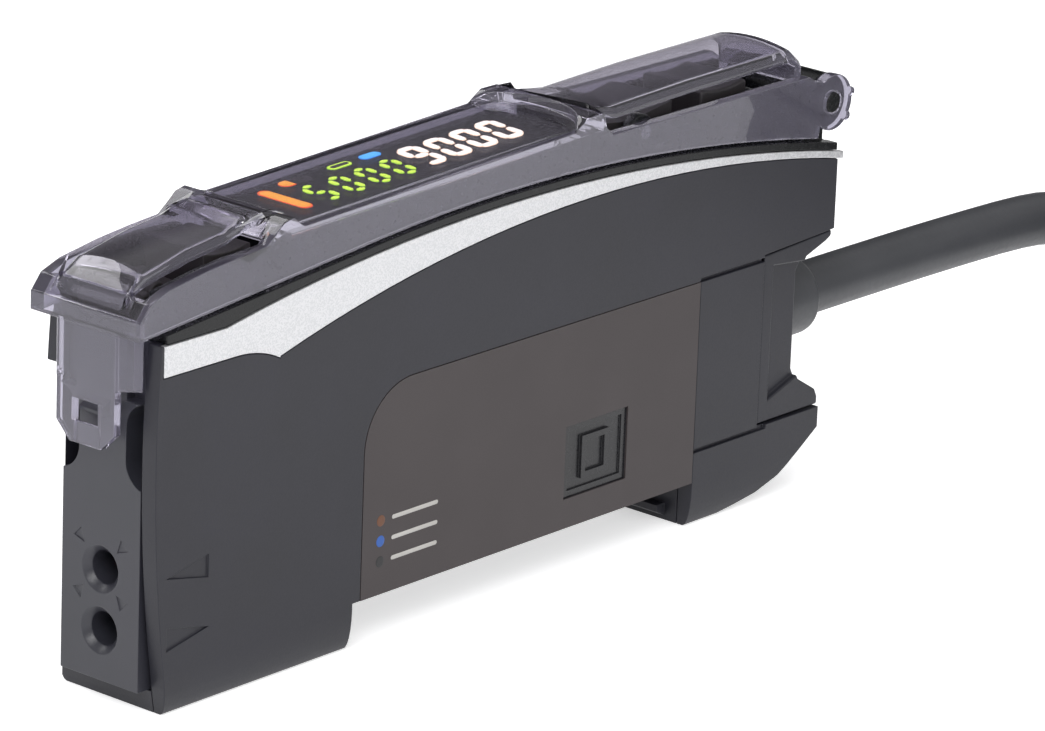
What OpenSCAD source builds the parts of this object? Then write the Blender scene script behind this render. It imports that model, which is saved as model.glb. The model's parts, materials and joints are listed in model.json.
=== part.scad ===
// Fibre optic sensor amplifier, clipped on a 35 mm rail, with a hinged smoke cover over its keys.
// X runs from the fibre end to the cable, Y across the rail, Z up. The amplifier stands on its two feet.
// Side outlines are drawn from the middle of the label, and placed() then moves every piece along X
// so that the origin lies under the middle of the whole amplifier.

/* [Case] */
// Width of the case across its two sides
body_w = 10; // [9.6:0.2:12]
// Reach from the label's middle to the fibre end of the case
front_len = 37.2; // [36.6:0.2:40]
// Reach from the label's middle to the rear wall
rear_len = 32.2; // [31.6:0.2:35]
// Height of the crown of the case, under the panel frame
crown_z = 28.2; // [27.4:0.2:30]
// Thickness of the near side skin
skin_t = 1.3; // [1.1:0.1:1.6]
// Wall of the case tub
wall_t = 1.2; // [1:0.1:1.5]
// Draw-in of each foot's lower edge
foot_taper = 0.75; // [0.3:0.05:1]

/* [Rail seat] */
// Length of the recess that drops over the rail
rail_w = 35.4; // [35:0.1:36]
// Depth of that recess above the feet
rail_depth = 3.35; // [2.8:0.05:4]
// Reach of the two lips that hook under the rail
rail_lip = 0.9; // [0.5:0.1:1.2]

/* [Trim and label] */
// Thickness of the silver side trims
trim_t = 0.45; // [0.3:0.05:0.7]
// Height of the trim's lower edge at the fibre end
trim_z = 23.35; // [22.8:0.05:24]
// Length of the label
label_w = 34.6; // [30:0.2:34.8]
// Height of the label's upper edge
label_top = 18.2; // [16:0.2:18.4]
// Radius of the label's rounded corner
label_r = 4.6; // [2:0.2:6]
// Thickness of the label
label_t = 0.15; // [0.1:0.05:0.3]
// Width of the signal window in the side
window_w = 6.5; // [5:0.1:8]
// Height of the signal window
window_h = 5.2; // [4:0.1:6]

/* [Fibre end] */
// Bore of the two fibre holes
fibre_d = 2.3; // [2.2:0.05:2.6]
// Mouth of the fibre holes
mouth_d = 3.26; // [2.8:0.02:3.6]
// Height of the lower fibre hole
fibre_z = 5.05; // [4.6:0.05:5.4]
// Distance between the two fibre holes
fibre_pitch = 4.22; // [3.8:0.02:4.6]
// Strip of the case on each side of the fibre block
cheek_t = 1.5; // [1.4:0.05:1.8]
// Width of the neck above the fibre block
neck_w = 4.2; // [3.6:0.1:4.6]

/* [Cover] */
// Gap between the cover's sides and the outer faces of the case
cover_inset = 0.1; // [0.05:0.05:0.3]
// Wall of the smoke cover
glass_t = 0.8; // [0.6:0.05:0.9]
// Half width of the roof over the fibre end
front_roof_y = 3.1; // [2.6:0.1:3.4]
// Half width of the roof over the rear keys
rear_roof_y = 3.6; // [3:0.1:3.8]
// Diameter of the two hinge pins
pin_d = 1.5; // [1.2:0.05:1.7]
// Radius of the cover's hinge ears
ear_r = 2.05; // [1.8:0.05:2.2]
// Width of the latch tab
tab_w = 5.2; // [4.4:0.1:5.6]
// Length of the latch tab below the cover's lip
tab_h = 8; // [7:0.2:8.6]

/* [Keys] */
// Length of the tune key
tune_len = 4.4; // [3.6:0.1:4.6]
// Length of the two-way key
rocker_len = 9; // [8:0.1:9.4]
// Length of the mode key
mode_len = 5; // [4:0.1:5.4]
// Gap between the keys and the walls beside them
key_gap = 0.4; // [0.3:0.05:0.6]
// Travel of the keys
key_travel = 0.4; // [0.3:0.05:0.5]

/* [Cable] */
// Diameter of the cable's jacket
cable_d = 4; // [3.6:0.1:4.2]
// Height of the cable where it leaves the case
cable_z = 12.7; // [12:0.1:13]
// Diameter of the bushing round the cable
bushing_d = 5.9; // [5.4:0.1:6]

/* [Hidden] */
$fn = 48;
big_fn = 720;

// General clearances: a loose seat, a running gap and the gap round a hinge pin
seat_gap = 0.05;
run_gap = 0.25;
pin_gap = 0.05;
// Overshoot of cutting shapes, past the face that they open
over = 1;
// A height or reach beyond every piece
far = 60;

// Case outline: a bulged fibre end, a crown of large radius and a level shoulder in front of it
half_w = body_w / 2;
block_w = body_w - 2 * cheek_t;
part_y = -half_w + skin_t;
bulge_r = 97.6;
bulge_z = 17.3;
crown_x = -1;
crown_r = 166.5;
shoulder_x = -front_len + 8.2;
shoulder_z = crown_z - 2.7;
rail_x0 = -rail_w / 2 - 0.37;
rail_x1 = rail_x0 + rail_w;
foot_h = 3;
clamp_x0 = rear_len - 7.8;
clamp_z0 = rail_depth + 2.5;
clamp_z1 = 18.7;
cavity_x0 = -front_len + 8.2;
cavity_x1 = clamp_x0 - 1.4;
cavity_z0 = rail_depth + wall_t;
front_chamfer = 1.9;
core_hole_d = bushing_d - 0.9;

// Places along the top, from the fibre end and from the rear wall
tune_x = -front_len + 8.5;
window_x0 = tune_x + tune_len / 2 + 1.9;
mode_x = rear_len - 10.6;
rocker_x = mode_x - 10.2;
window_x1 = rocker_x - 4.8;
thumb_x = window_x1 - 6.2;
signal_x = label_w / 2 - 10.7;
signal_z = rail_depth + 2.2;
signal_sink = 0.16;
signal_rim = 0.45;

// Cover: lip line, skirt, roof and hinge
cover_y = half_w - cover_inset;
inner_y = cover_y - glass_t;
deck_y = inner_y - 0.2;
bay_t = 0.7;
key_w = 2 * (deck_y - bay_t - key_gap);
skirt_drop = 0.8;
nose_x = -front_len - 1.6;
hinge_x = rear_len - 0.7;
hinge_z = crown_z + 0.3;
cover_rear = hinge_x - 2.3;
roof_t = glass_t - 0.1;
thumb_r = 5.6;
tab_x = nose_x + glass_t;
tab_z0 = crown_z - 2.1 - tab_h;

// Fibre end: pocket in the case, block, hook and clamp
pocket_x1 = -front_len + 6.7;
pocket_y = block_w / 2 + seat_gap;
block_x0 = -front_len + 0.2;
block_x1 = pocket_x1 - seat_gap;
block_z0 = 1.6;
block_z1 = shoulder_z - 0.1;
fibre_zs = [fibre_z, fibre_z + fibre_pitch];
side_pocket_r = 1.8;
side_pocket_z = [17.2, 19.5];
hook_z = crown_z - 8.2;
hook_y = 1;
clamp_slot_x = block_x0 + 3;
clamp_plate_t = 1;
clamp_lift = 0.2;

// Panel frame, keys and boards
board_t = 0.8;
chip_w = 7;
driver_w = 5;
cap_w = 1.6;
cap_h = 3;
key_board_z = crown_z - 3.2;
front_deck_z = crown_z - 2.2;
deck_z = crown_z - 1.6;
rear_deck_z = crown_z + 0.4;
tune_top = crown_z + 1.6;
key_top = crown_z + 3;
rocker_pin_d = 1;
rocker_pin_z = crown_z + 1.9;
switch_h = 0.7;
switch_d = 1.3;
switch_x = 2.6;
main_board_y = [0, 1];
lever_x = -front_len + 1.2;
lever_z = crown_z - 1.1;
lever_pin_d = 1;

// Cable route in the final frame: lead from the bushing to the coil, coil, and the tail beside it
coil_at = [104, -30];
coil_turn_r = 24;
coil_pitch = 4.05;
coil_rows = 3;
coil_layers = 5;
tie_t = 0.9;
lead_points = [[36.5, 0, 12.7], [44, 0, 12.68], [54, 0, 12.6], [64, 0, 12.3], [69, -0.15, 11.6],
               [74, -0.4, 10.1], [79, -0.75, 7.9], [84, -1.15, 5.6], [89, -1.5, 3.8], [94, -1.8, 3],
               [99, -1.95, 2.9], [104, -1.95, 2.9]];
tail_points = [[104, -50, 19.1], [99.8, -49.6, 19.6], [95.3, -48.6, 20.3], [90.4, -46.2, 21.2],
               [86.1, -42.5, 22], [83.1, -37.6, 22.6], [81.8, -32.3, 22.9], [81.8, -27.7, 23],
               [82.8, -23.1, 23]];
core_d = 1.3;
brown_points = [[82.08, -22.89, 23.42], [82.72, -19.96, 23.42], [83.6, -15.9, 23.7], [85.2, -11.3, 23.9],
                [87.7, -7, 23.6]];
blue_points = [[82.81, -23.05, 22.15], [83.45, -20.12, 22.15], [84.9, -16.3, 23], [87.5, -12.6, 23.4],
               [90.7, -9.4, 23.2]];
black_points = [[83.54, -23.21, 23.42], [84.18, -20.28, 23.42], [86.4, -17, 23.7], [89.8, -14, 23.9],
                [93.5, -11.8, 23.6]];

// Middle of the whole amplifier, from its lip to its bushing
bushing_x1 = rear_len + 2;
shift_x = -(nose_x + bushing_x1) / 2;

module placed() translate([shift_x, 0, 0]) children();

// Extrudes a side outline (x, z) from y0 to y1
module across(y0, y1) translate([0, y1, 0]) rotate([90, 0, 0]) linear_extrude(y1 - y0) children();

// Extrudes an end outline (y, z) from x0 to x1
module along(x0, x1) translate([x0, 0, 0]) rotate([90, 0, 90]) linear_extrude(x1 - x0) children();

// A bar between two corners
module bar(low, high) translate(low) cube(high - low);

// Same shape on both sides of the middle plane
module both_sides() {
    children();
    mirror([0, 1, 0]) children();
}

// Area below the case's top line, lowered by drop
module under_top(drop = 0) {
    translate([crown_x, crown_z - crown_r]) circle(r = crown_r - drop, $fn = big_fn);
    translate([-far, -over]) square([far + shoulder_x, shoulder_z - drop + over]);
}

// Area below the cover's lower edge, lowered by drop: a straight rise that runs into the crown's arc
module under_skirt(drop = 0) {
    translate([crown_x, crown_z - crown_r]) circle(r = crown_r + skirt_drop - drop, $fn = big_fn);
    bend = window_x0 + 5.6;
    polygon([[-far, -over], [bend, -over], [bend, crown_z - 0.17 - drop], [nose_x, crown_z - 2.05 - drop],
             [-far, crown_z - 2.05 - drop]]);
}

// Area below the trim's lower edge: level at the fibre end, a cusp, then one long arc to the rear
module under_trim() {
    cusp_x = -front_len + 11.46;
    bend_x = -front_len + 7.3;
    bend_r = 9;
    arc_r = 122.6;
    intersection() {
        translate([7, trim_z + 3.55 - arc_r]) circle(r = arc_r, $fn = big_fn);
        translate([cusp_x, -far]) square([2 * far, 2 * far]);
    }
    intersection() {
        union() {
            translate([bend_x, trim_z - bend_r]) circle(r = bend_r, $fn = 120);
            translate([-far, -far]) square([far + bend_x, far + trim_z]);
            translate([-far, -far]) square([far + cusp_x, far + trim_z - bend_r]);
        }
        translate([-far, -far]) square([far + cusp_x, 2 * far]);
    }
}

// Silver band between the trim's lower edge and the top line
module trim_area(gap = 0) {
    difference() {
        intersection() {
            under_top(seat_gap - gap);
            translate([-front_len + 0.6 - gap, 0]) square([front_len + rear_len + gap, far]);
        }
        translate([0, -gap]) under_trim();
    }
}

// Whole side outline of the case
module case_side() {
    difference() {
        intersection() {
            translate([bulge_r - front_len, bulge_z]) circle(r = bulge_r, $fn = big_fn);
            under_top();
            translate([-far, 0]) square([far + rear_len, far]);
        }
        translate([rail_x0, -over]) square([rail_w, rail_depth + over]);
        clamp_gap();
        heel_cut();
    }
}

// Gap for the cable clamp at the rear
module clamp_gap() {
    polygon([[clamp_x0, clamp_z0], [rear_len + over, clamp_z0], [rear_len + over, clamp_z1 + 0.4],
             [clamp_x0, clamp_z1]]);
}

// Rising underside of the rear foot
module heel_cut() {
    heel = rail_x1 + 3.2;
    polygon([[heel, -over], [heel, 0], [heel + 4.3, 0.75], [heel + 6.7, 1.6], [rear_len - 0.8, 4.3],
             [rear_len - 0.8, clamp_z0 + over], [rear_len + over, clamp_z0 + over],
             [rear_len + over, -over]]);
}

// Cross section of the case, whose sides round in at the feet on a quarter of an ellipse
module body_section() {
    round_in = [for (a = [90:-15:0]) [half_w - foot_taper * (1 - cos(a)), foot_h * (1 - sin(a))]];
    near = [for (i = [len(round_in) - 1:-1:0]) [-round_in[i][0], round_in[i][1]]];
    polygon(concat(round_in, [[half_w, far], [-half_w, far]], near));
}

// Outline of the label, with one corner rounded
module label_area(gap = 0) {
    x = label_w / 2 + gap;
    top = label_top + gap;
    r = label_r + gap;
    translate([r - x, rail_depth]) square([2 * x - r, top - rail_depth]);
    translate([-x, rail_depth]) square([2 * x, top - r - rail_depth]);
    translate([r - x, top - r]) circle(r = r);
}

// Signal window seen from the side
module window_area(gap = 0) {
    translate([signal_x - window_w / 2 - gap, signal_z - gap])
        square([window_w + 2 * gap, window_h + 2 * gap]);
}

// Case tub: far wall, feet, end walls and the posts that carry the main board
module main_case() {
    color("#47484d") placed() {
        difference() {
            intersection() {
                across(part_y, half_w) case_side();
                along(-far, far) body_section();
            }
            bar([cavity_x0, part_y - over, cavity_z0], [cavity_x1, half_w - wall_t, far]);
            bar([-far, part_y - over, block_z0 - seat_gap], [pocket_x1, pocket_y, far]);
            translate([-front_len, half_w, -over]) rotate([0, 0, 45])
                translate([-front_chamfer, -front_chamfer] / sqrt(2))
                    cube([front_chamfer * sqrt(2), front_chamfer * sqrt(2), trim_z]);
            across(half_w - trim_t - seat_gap, half_w + over) trim_area(seat_gap);
            across(half_w - wall_t - over, half_w + over) window_area(seat_gap);
            bar([pocket_x1 - over, -2, fibre_z - 2], [cavity_x0 + over, 2, fibre_z + fibre_pitch + 2]);
            translate([cavity_x1 - over, 0, cable_z]) rotate([0, 90, 0])
                cylinder(d = core_hole_d, h = clamp_x0 - cavity_x1 + 2 * over);
        }
        for (x = [cavity_x0 + 5, cavity_x1 - 5], z = [cavity_z0 + 3, crown_z - 7])
            translate([x, main_board_y[1], z]) rotate([-90, 0, 0])
                cylinder(d = 3, h = half_w - wall_t - main_board_y[1] + seat_gap);
        rail_lips();
    }
}

// Lips on the two feet that hook under the rail
module rail_lips() {
    lip_y = 2.6;
    lip_h = 1;
    across(-lip_y, lip_y) {
        polygon([[rail_x0 - seat_gap, 0.3], [rail_x0 + rail_lip, 0.3 + lip_h / 2],
                 [rail_x0 + rail_lip, 0.3 + lip_h], [rail_x0 - seat_gap, 0.3 + lip_h]]);
        polygon([[rail_x1 + seat_gap, 0.3], [rail_x1 - rail_lip, 0.3 + lip_h / 2],
                 [rail_x1 - rail_lip, 0.3 + lip_h], [rail_x1 + seat_gap, 0.3 + lip_h]]);
    }
}

// Near skin of the case, with the label's recess, the trim's seat and engraved direction marks
module side_cover() {
    groove = 0.3;
    color("#4a4b50") placed() difference() {
        intersection() {
            across(-half_w, part_y - seat_gap) case_side();
            along(-far, far) body_section();
        }
        across(-half_w - over, -half_w + trim_t + seat_gap) trim_area(seat_gap);
        across(-half_w - over, -half_w + label_t) label_area(seat_gap);
        across(-half_w - over, part_y + over) window_area(seat_gap);
        bar([label_w / 2, -half_w - over, label_top],
            [clamp_x0 + over, -half_w + groove, label_top + groove]);
        bar([label_w / 2, -half_w - over, clamp_z0 - groove], [clamp_x0 + over, -half_w + groove, clamp_z0]);
        across(-half_w - over, -half_w + groove / 2) {
            direction_mark(fibre_zs[0], 1);
            direction_mark(fibre_zs[1], -1);
        }
    }
}

// Triangle that points along the fibres, into the case (way 1) or out of it (way -1)
module direction_mark(z, way) {
    mark_w = 3.8;
    mark_h = 1.6;
    x = -front_len + 3.2;
    translate([x, z + 0.35])
        polygon([[-way * mark_w / 2, -mark_h / 2], [way * mark_w / 2, 0],
                 [-way * mark_w / 2, mark_h / 2]]);
}

// Four small triangles round a fibre hole, seen from the end, which point at it
module aim_marks() {
    mark = 0.9;
    for (a = [45:90:315]) rotate(a) translate([mouth_d / 2 + 0.45, 0])
        polygon([[0, 0], [mark, mark / 2], [mark, -mark / 2]]);
}

// Fibre block: bores with wide mouths, a neck between two side pockets, and the hook that holds the latch tab
module fibre_block() {
    mouth_t = (mouth_d - fibre_d) / 2;
    color("#505259") placed() difference() {
        union() {
            bar([block_x0, -block_w / 2, block_z0], [block_x1, block_w / 2, block_z1]);
            across(-hook_y, hook_y) polygon([[block_x0 + over, hook_z], [block_x0, hook_z],
                                             [tab_x - 0.2, hook_z + 0.25], [tab_x - 0.2, hook_z + 0.5],
                                             [block_x0, hook_z + 1.1], [block_x0 + over, hook_z + 1.1]]);
        }
        both_sides() along(block_x0 - over, block_x0 + 2.5) {
            pocket_mid = neck_w / 2 + side_pocket_r;
            for (z = side_pocket_z) translate([pocket_mid, z]) circle(r = side_pocket_r);
            translate([neck_w / 2, side_pocket_z[0]])
                square([2 * side_pocket_r, side_pocket_z[1] - side_pocket_z[0]]);
        }
        both_sides() bar([block_x0 - over, neck_w / 2, side_pocket_z[1] + side_pocket_r],
                         [block_x0 + 0.8, half_w, far]);
        for (z = fibre_zs) translate([block_x0, 0, z]) rotate([0, 90, 0]) {
            translate([0, 0, -over]) cylinder(d = fibre_d, h = block_x1 - block_x0 + 2 * over);
            translate([0, 0, -seat_gap])
                cylinder(d1 = mouth_d + 2 * seat_gap, d2 = fibre_d, h = mouth_t + seat_gap);
        }
        along(block_x0 - over, block_x0 + 0.12) translate([0, fibre_zs[1]]) aim_marks();
        bar([clamp_slot_x - run_gap, -block_w / 2 + 1, block_z0 + 1.2],
            [clamp_slot_x + clamp_plate_t + run_gap, block_w / 2 - 1, far]);
    }
}

// Plate in the fibre block that grips both fibres when the lever goes down
module fibre_clamp() {
    hole = fibre_d + 4 * clamp_lift;
    color("#c9cacc") placed() difference() {
        bar([clamp_slot_x, -block_w / 2 + 1 + run_gap, block_z0 + 1.6],
            [clamp_slot_x + clamp_plate_t, block_w / 2 - 1 - run_gap, lever_z - 0.2 - clamp_lift]);
        for (z = fibre_zs) translate([clamp_slot_x - over, 0, z]) rotate([0, 90, 0])
            cylinder(d = hole, h = clamp_plate_t + 2 * over);
    }
}

// Area of the panel frame's side lip, which ends just under the cover's skirt
module lip_area() {
    intersection() {
        under_skirt(run_gap);
        translate([-front_len + 0.9, shoulder_z - 2]) square([front_len + rear_len - 0.9, far]);
    }
}

// Side outline of the display housing, which follows the slope of the cover's window
module housing_area(z0, drop = 0) {
    x0 = window_x0 + 0.3 + drop;
    x1 = window_x1 - 2 - drop;
    polygon([[x0, z0], [x1, z0], [x1, window_z(x1) - 1.2], [x0, window_z(x0) - 1.2]]);
}

// Side outline of the key decks: low under the lever, a step up to the tune key, high behind the display
module deck_area() {
    step_x = tune_x - tune_len / 2 - 0.3;
    low = shoulder_z - 2;
    polygon([[-front_len + 0.9, low], [rear_len - 0.5, low], [rear_len - 0.5, rear_deck_z],
             [window_x1 - 2.2, rear_deck_z], [window_x1 - 2.2, deck_z], [step_x, deck_z],
             [step_x, front_deck_z], [-front_len + 0.9, front_deck_z]]);
}

// Black panel frame on the case's top: side lip, key decks, display housing and the two hinge pins
module panel_frame() {
    wall = 0.8;
    color("#1b1c1f") placed() difference() {
        union() {
            both_sides() across(deck_y - seat_gap, cover_y) lip_area();
            across(-deck_y, deck_y) {
                deck_area();
                housing_area(shoulder_z);
                translate([hinge_x, hinge_z]) circle(r = ear_r - 0.1);
            }
            translate([hinge_x, -cover_y, hinge_z]) rotate([-90, 0, 0]) cylinder(d = pin_d, h = 2 * cover_y);
            both_sides() across(deck_y - bay_t, deck_y) bay_area();
            both_sides() rocker_bracket();
            both_sides() lever_bracket();
        }
        across(-body_w, body_w) under_top();
        translate([rocker_x, -half_w, rocker_pin_z]) rotate([-90, 0, 0])
            cylinder(d = rocker_pin_d, h = body_w);
        bar([window_x0 + 0.5 + wall, wall - deck_y, 0], [window_x1 - 2.2 - wall, deck_y - wall, far]);
        for (k = [[tune_x, tune_len], [rocker_x, rocker_len], [mode_x, mode_len]])
            bar([k[0] - k[1] / 2 + wall, wall - key_w / 2, 0],
                [k[0] + k[1] / 2 - wall, key_w / 2 - wall, far]);
        bar([clamp_slot_x - run_gap, 1 - block_w / 2, 0],
            [clamp_slot_x + clamp_plate_t + run_gap, block_w / 2 - 1, far]);
    }
}

// Side outline of the frame's walls beside the keys, which end just under the cover's ledges
module bay_area() {
    z = crown_z;
    low = shoulder_z - 1;
    x0 = -front_len + 0.9;
    x1 = window_x0 - 2.1;
    polygon([[x0, low], [x1, low], [x1, z + 1.5], [nose_x + 9, z + 1.4], [nose_x + 6.1, z + 1.1],
             [nose_x + 2.7, z + 0.55], [x0, z + 0.5]]);
    translate([window_x1 + 0.5, low]) square([cover_rear - 1.5 - window_x1, z + 2.35 - low]);
}

// Cheek that carries one end of the two-way key's pin
module rocker_bracket() {
    y0 = key_w / 2 + run_gap;
    across(y0, deck_y) {
        translate([rocker_x - 1.2, rear_deck_z - 0.3]) square([2.4, rocker_pin_z - rear_deck_z + 0.3]);
        translate([rocker_x, rocker_pin_z]) circle(r = 1.2);
    }
}

// Cheek with the stub that carries one side of the lock lever
module lever_bracket() {
    y0 = 2.4 + run_gap;
    across(y0, deck_y) {
        translate([lever_x - 0.3, shoulder_z - 1]) square([1.2, lever_z - shoulder_z + 1]);
        translate([lever_x, lever_z]) circle(r = 0.9);
    }
    translate([lever_x, 1.6, lever_z]) rotate([-90, 0, 0]) cylinder(d = lever_pin_d, h = y0 - 1.6 + seat_gap);
}

// Lever that locks the fibres: a thumb nose at the end of the cover and a flat arm behind it
module lock_lever() {
    arm_end = tune_x - tune_len / 2 - 0.6;
    color("#2b2c30") placed() difference() {
        across(-2.4, 2.4) {
            translate([lever_x, lever_z]) circle(r = 0.85);
            translate([lever_x, lever_z - 0.2]) square([arm_end - lever_x, 1.05]);
            translate([lever_x, lever_z]) square([2.2, 1]);
            translate([lever_x + 1.4, lever_z + 0.9]) circle(r = 0.8);
        }
        both_sides() translate([lever_x, 1.6 - run_gap, lever_z]) rotate([-90, 0, 0])
            cylinder(d = lever_pin_d + 2 * pin_gap, h = half_w);
    }
}

// Height of the cover's window at x
function window_z(x) = crown_z + 3.65 + x * 0.033;

// Outline of the cover's side: the ledges, the shoulders beside the display and the rim between them
module skirt_area() {
    z = crown_z;
    x0 = window_x0;
    x1 = window_x1;
    difference() {
        union() {
            polygon([[nose_x, z - 4], [nose_x, z - 0.8], [nose_x + 0.9, z + 0.3], [nose_x + 2.6, z + 0.9],
                     [nose_x + 6.1, z + 1.45], [nose_x + 9, z + 1.75], [x0 - 2.6, z + 1.95],
                     [x0 - 1.2, z + 3], [x0 - 0.2, z + 3.3], [x0 + 1, z + 2.6], [x1 - 3.4, z + 3.6],
                     [x1 - 2.1, z + 4.3], [x1 - 1.1, z + 4.3], [x1 + 0.6, z + 2.7],
                     [cover_rear - 0.6, z + 2.7], [cover_rear, z + 2.3], [hinge_x - 1, z + 2],
                     [hinge_x, hinge_z], [hinge_x - 1.4, hinge_z - 1.5], [hinge_x - 1.9, z - 4]]);
            translate([hinge_x, hinge_z]) {
                circle(r = ear_r);
                for (a = [12, -38]) rotate(a) translate([ear_r, 0]) circle(r = 0.35, $fn = 24);
            }
        }
        under_skirt();
    }
}

// Smoke cover: two skirts with ears, a lip with the latch tab, the display window and two open-sided roofs
module protective_cover() {
    color("#8d8b92", 0.55) placed() difference() {
        union() {
            both_sides() across(inner_y, cover_y) skirt_area();
            across(-cover_y, cover_y) cover_crossings();
            across(-front_roof_y, front_roof_y) front_roof();
            across(-rear_roof_y, rear_roof_y) rear_roof();
            across(0.5 - cover_y, cover_y - 0.5) window_plate();
            latch_tab();
        }
        translate([hinge_x, -half_w, hinge_z]) rotate([-90, 0, 0])
            cylinder(d = pin_d + 2 * pin_gap, h = body_w);
        translate([thumb_x, 0, window_z(thumb_x)]) cylinder(r = thumb_r, h = far, $fn = 96);
        bar([nose_x - over, -hook_y - 0.15, hook_z - 0.4], [nose_x + 2, hook_y + 0.15, hook_z + 1.1]);
        bar([nose_x + glass_t - 0.35, -hook_y - 0.15, tab_z0 - over], [nose_x + 2, hook_y + 0.15, hook_z]);
    }
}

// Parts of the cover that run from side to side: lip, front wall and the shoulders beside the display
module cover_crossings() {
    z = crown_z;
    x0 = window_x0;
    x1 = window_x1;
    polygon([[nose_x, z - 2.05], [nose_x + glass_t, z - 2.05], [nose_x + glass_t, z - 0.75],
             [nose_x, z - 0.75]]);
    polygon([[nose_x, z - 0.8], [nose_x + glass_t, z - 1], [nose_x + glass_t + 0.9, z + 0.2],
             [nose_x + 0.9, z + 0.3]]);
    polygon([[x0 - 2.2, z + 2.2], [x0 - 1, z + 3.2], [x0 - 0.1, z + 3.4], [x0 + 0.6, window_z(x0 + 0.6)],
             [x0 + 0.6, window_z(x0 + 0.6) - glass_t], [x0 - 0.4, z + 2.4], [x0 - 1.8, z + 1.8]]);
    polygon([[x1 - 3.2, window_z(x1 - 3.2)], [x1 - 2.1, z + 4.4], [x1 - 0.4, z + 4.4],
             [x1, window_z(x1) - glass_t], [x1 - 3.2, window_z(x1 - 3.2) - glass_t]]);
}

// Display window, a sloping plate between the two shoulders
module window_plate() {
    x0 = window_x0 + 0.2;
    x1 = window_x1;
    polygon([[x0, window_z(x0)], [x1, window_z(x1)], [x1, window_z(x1) - glass_t],
             [x0, window_z(x0) - glass_t]]);
}

// Roof over the fibre end, which falls to the lip in two slopes
module front_roof() {
    z = crown_z;
    top = z + 3.4;
    polygon([[nose_x + 0.1, z - 0.9], [nose_x + 0.8, z + 0.7], [nose_x + 2.2, z + 1.95],
             [nose_x + 6.3, z + 2.8], [window_x0 - 2.9, top], [window_x0, top], [window_x0, top - roof_t],
             [window_x0 - 2.8, top - roof_t], [nose_x + 6.4, z + 2.8 - roof_t],
             [nose_x + 2.5, z + 1.95 - roof_t], [nose_x + 1.4, z + 0.4], [nose_x + 0.8, z - 0.9]]);
}

// Roof over the rear keys, closed by its rear wall
module rear_roof() {
    z = crown_z;
    x0 = window_x1 - 1;
    mid = cover_rear - 12.2;
    polygon([[x0 - 1.6, window_z(x0 - 1.6)], [x0, z + 4.3], [mid, z + 4.7], [cover_rear - 1, z + 4.8],
             [cover_rear, z + 4], [cover_rear, z + 2], [cover_rear - roof_t, z + 2],
             [cover_rear - roof_t, z + 3.7], [cover_rear - 1.3, z + 4.8 - roof_t],
             [mid, z + 4.7 - roof_t], [x0 + 0.4, z + 4.3 - roof_t]]);
}

// Shield below the lip, turned back at both sides, and the latch tab that hangs from it
module latch_tab() {
    shield_h = 3.9;
    corner = 1.2;
    turn = 1.3;
    wall = glass_t - 0.15;
    x = nose_x + 0.15;
    y = tab_w / 2;
    inner = wall * (sqrt(2) - 1);
    translate([0, 0, crown_z - 2 - shield_h]) linear_extrude(shield_h)
        polygon([[x, -y], [x + turn, -y - turn], [x + turn, -y - turn + wall * sqrt(2)],
                 [x + wall, inner - y], [x + wall, y - inner], [x + turn, y + turn - wall * sqrt(2)],
                 [x + turn, y + turn], [x, y]]);
    along(x, x + wall)
        polygon([[-y, crown_z - 2], [-y, tab_z0 + corner], [corner - y, tab_z0], [y - corner, tab_z0],
                 [y, tab_z0 + corner], [y, crown_z - 2]]);
}

// Silver trim inlaid in one side of the case
module trim(side) {
    color("#d9dadb") placed() {
        if (side < 0) across(-half_w, -half_w + trim_t) trim_area();
        else across(half_w - trim_t, half_w) trim_area();
    }
}

module near_trim() trim(-1);

module far_trim() trim(1);

// Label on the near side, cut out for the signal window
module side_label() {
    color("#5c5654") placed() difference() {
        across(-half_w, -half_w + label_t) label_area();
        across(-half_w - over, -half_w + label_t + over) window_area(seat_gap);
    }
}

// Ring on the signal window, inset from the window's edges and rim wide
module window_ring(inset_x, inset_z, rim) {
    w = window_w - 2 * inset_x;
    h = window_h - 2 * inset_z;
    translate([signal_x - w / 2, signal_z + inset_z]) difference() {
        square([w, h]);
        translate([rim, rim]) square([w - 2 * rim, h - 2 * rim]);
    }
}

// Window of the signal path to the next amplifier: a sunk face with a rim, and a frame round its lens
module signal_window() {
    y = -half_w + 2 * signal_sink;
    across(y, part_y) window_area();
    across(-half_w + signal_sink, y) window_ring(0, 0, signal_rim);
    across(-half_w + signal_sink / 2, y) window_ring(window_w * 0.28, window_h * 0.2, signal_rim);
}

module near_signal_window() color("#2a2a2d") placed() signal_window();

module far_signal_window() {
    color("#2a2a2d") placed() mirror([0, 1, 0]) difference() {
        signal_window();
        bar([-far, -half_w + wall_t, 0], [far, half_w, far]);
    }
}

// Clamp block that holds the bushing, waisted behind so that the cable can bend away
module cable_clamp() {
    gap = 0.15;
    waist = rear_len - 3.5;
    z0 = clamp_z0 + gap;
    color("#44464b") placed() difference() {
        across(-half_w + gap, half_w - gap)
            polygon([[clamp_x0 + gap, z0], [rear_len - 0.8, z0], [rear_len - 0.8, z0 + 0.6],
                     [rear_len - 1.1, z0 + 1.2], [waist + 0.4, z0 + 2.4], [waist, z0 + 3.2],
                     [waist, clamp_z1 - 2.2], [waist + 0.7, clamp_z1 - 1.2],
                     [rear_len - 0.7, clamp_z1 - 0.5], [rear_len - 0.1, clamp_z1 - 0.2],
                     [rear_len - 0.1, clamp_z1 + 0.4 - gap], [clamp_x0 + gap, clamp_z1 - gap]]);
        translate([clamp_x0, 0, cable_z]) rotate([0, 90, 0]) cylinder(d = bushing_d, h = far);
        both_sides() across(half_w - gap - 0.4, half_w)
            polygon([[clamp_x0 + 1.3, z0 + 1.6], [waist + 1.5, z0 + 3.2], [waist + 1.5, clamp_z1 - 1.6],
                     [clamp_x0 + 1.3, clamp_z1 - 1.1]]);
    }
}

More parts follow.
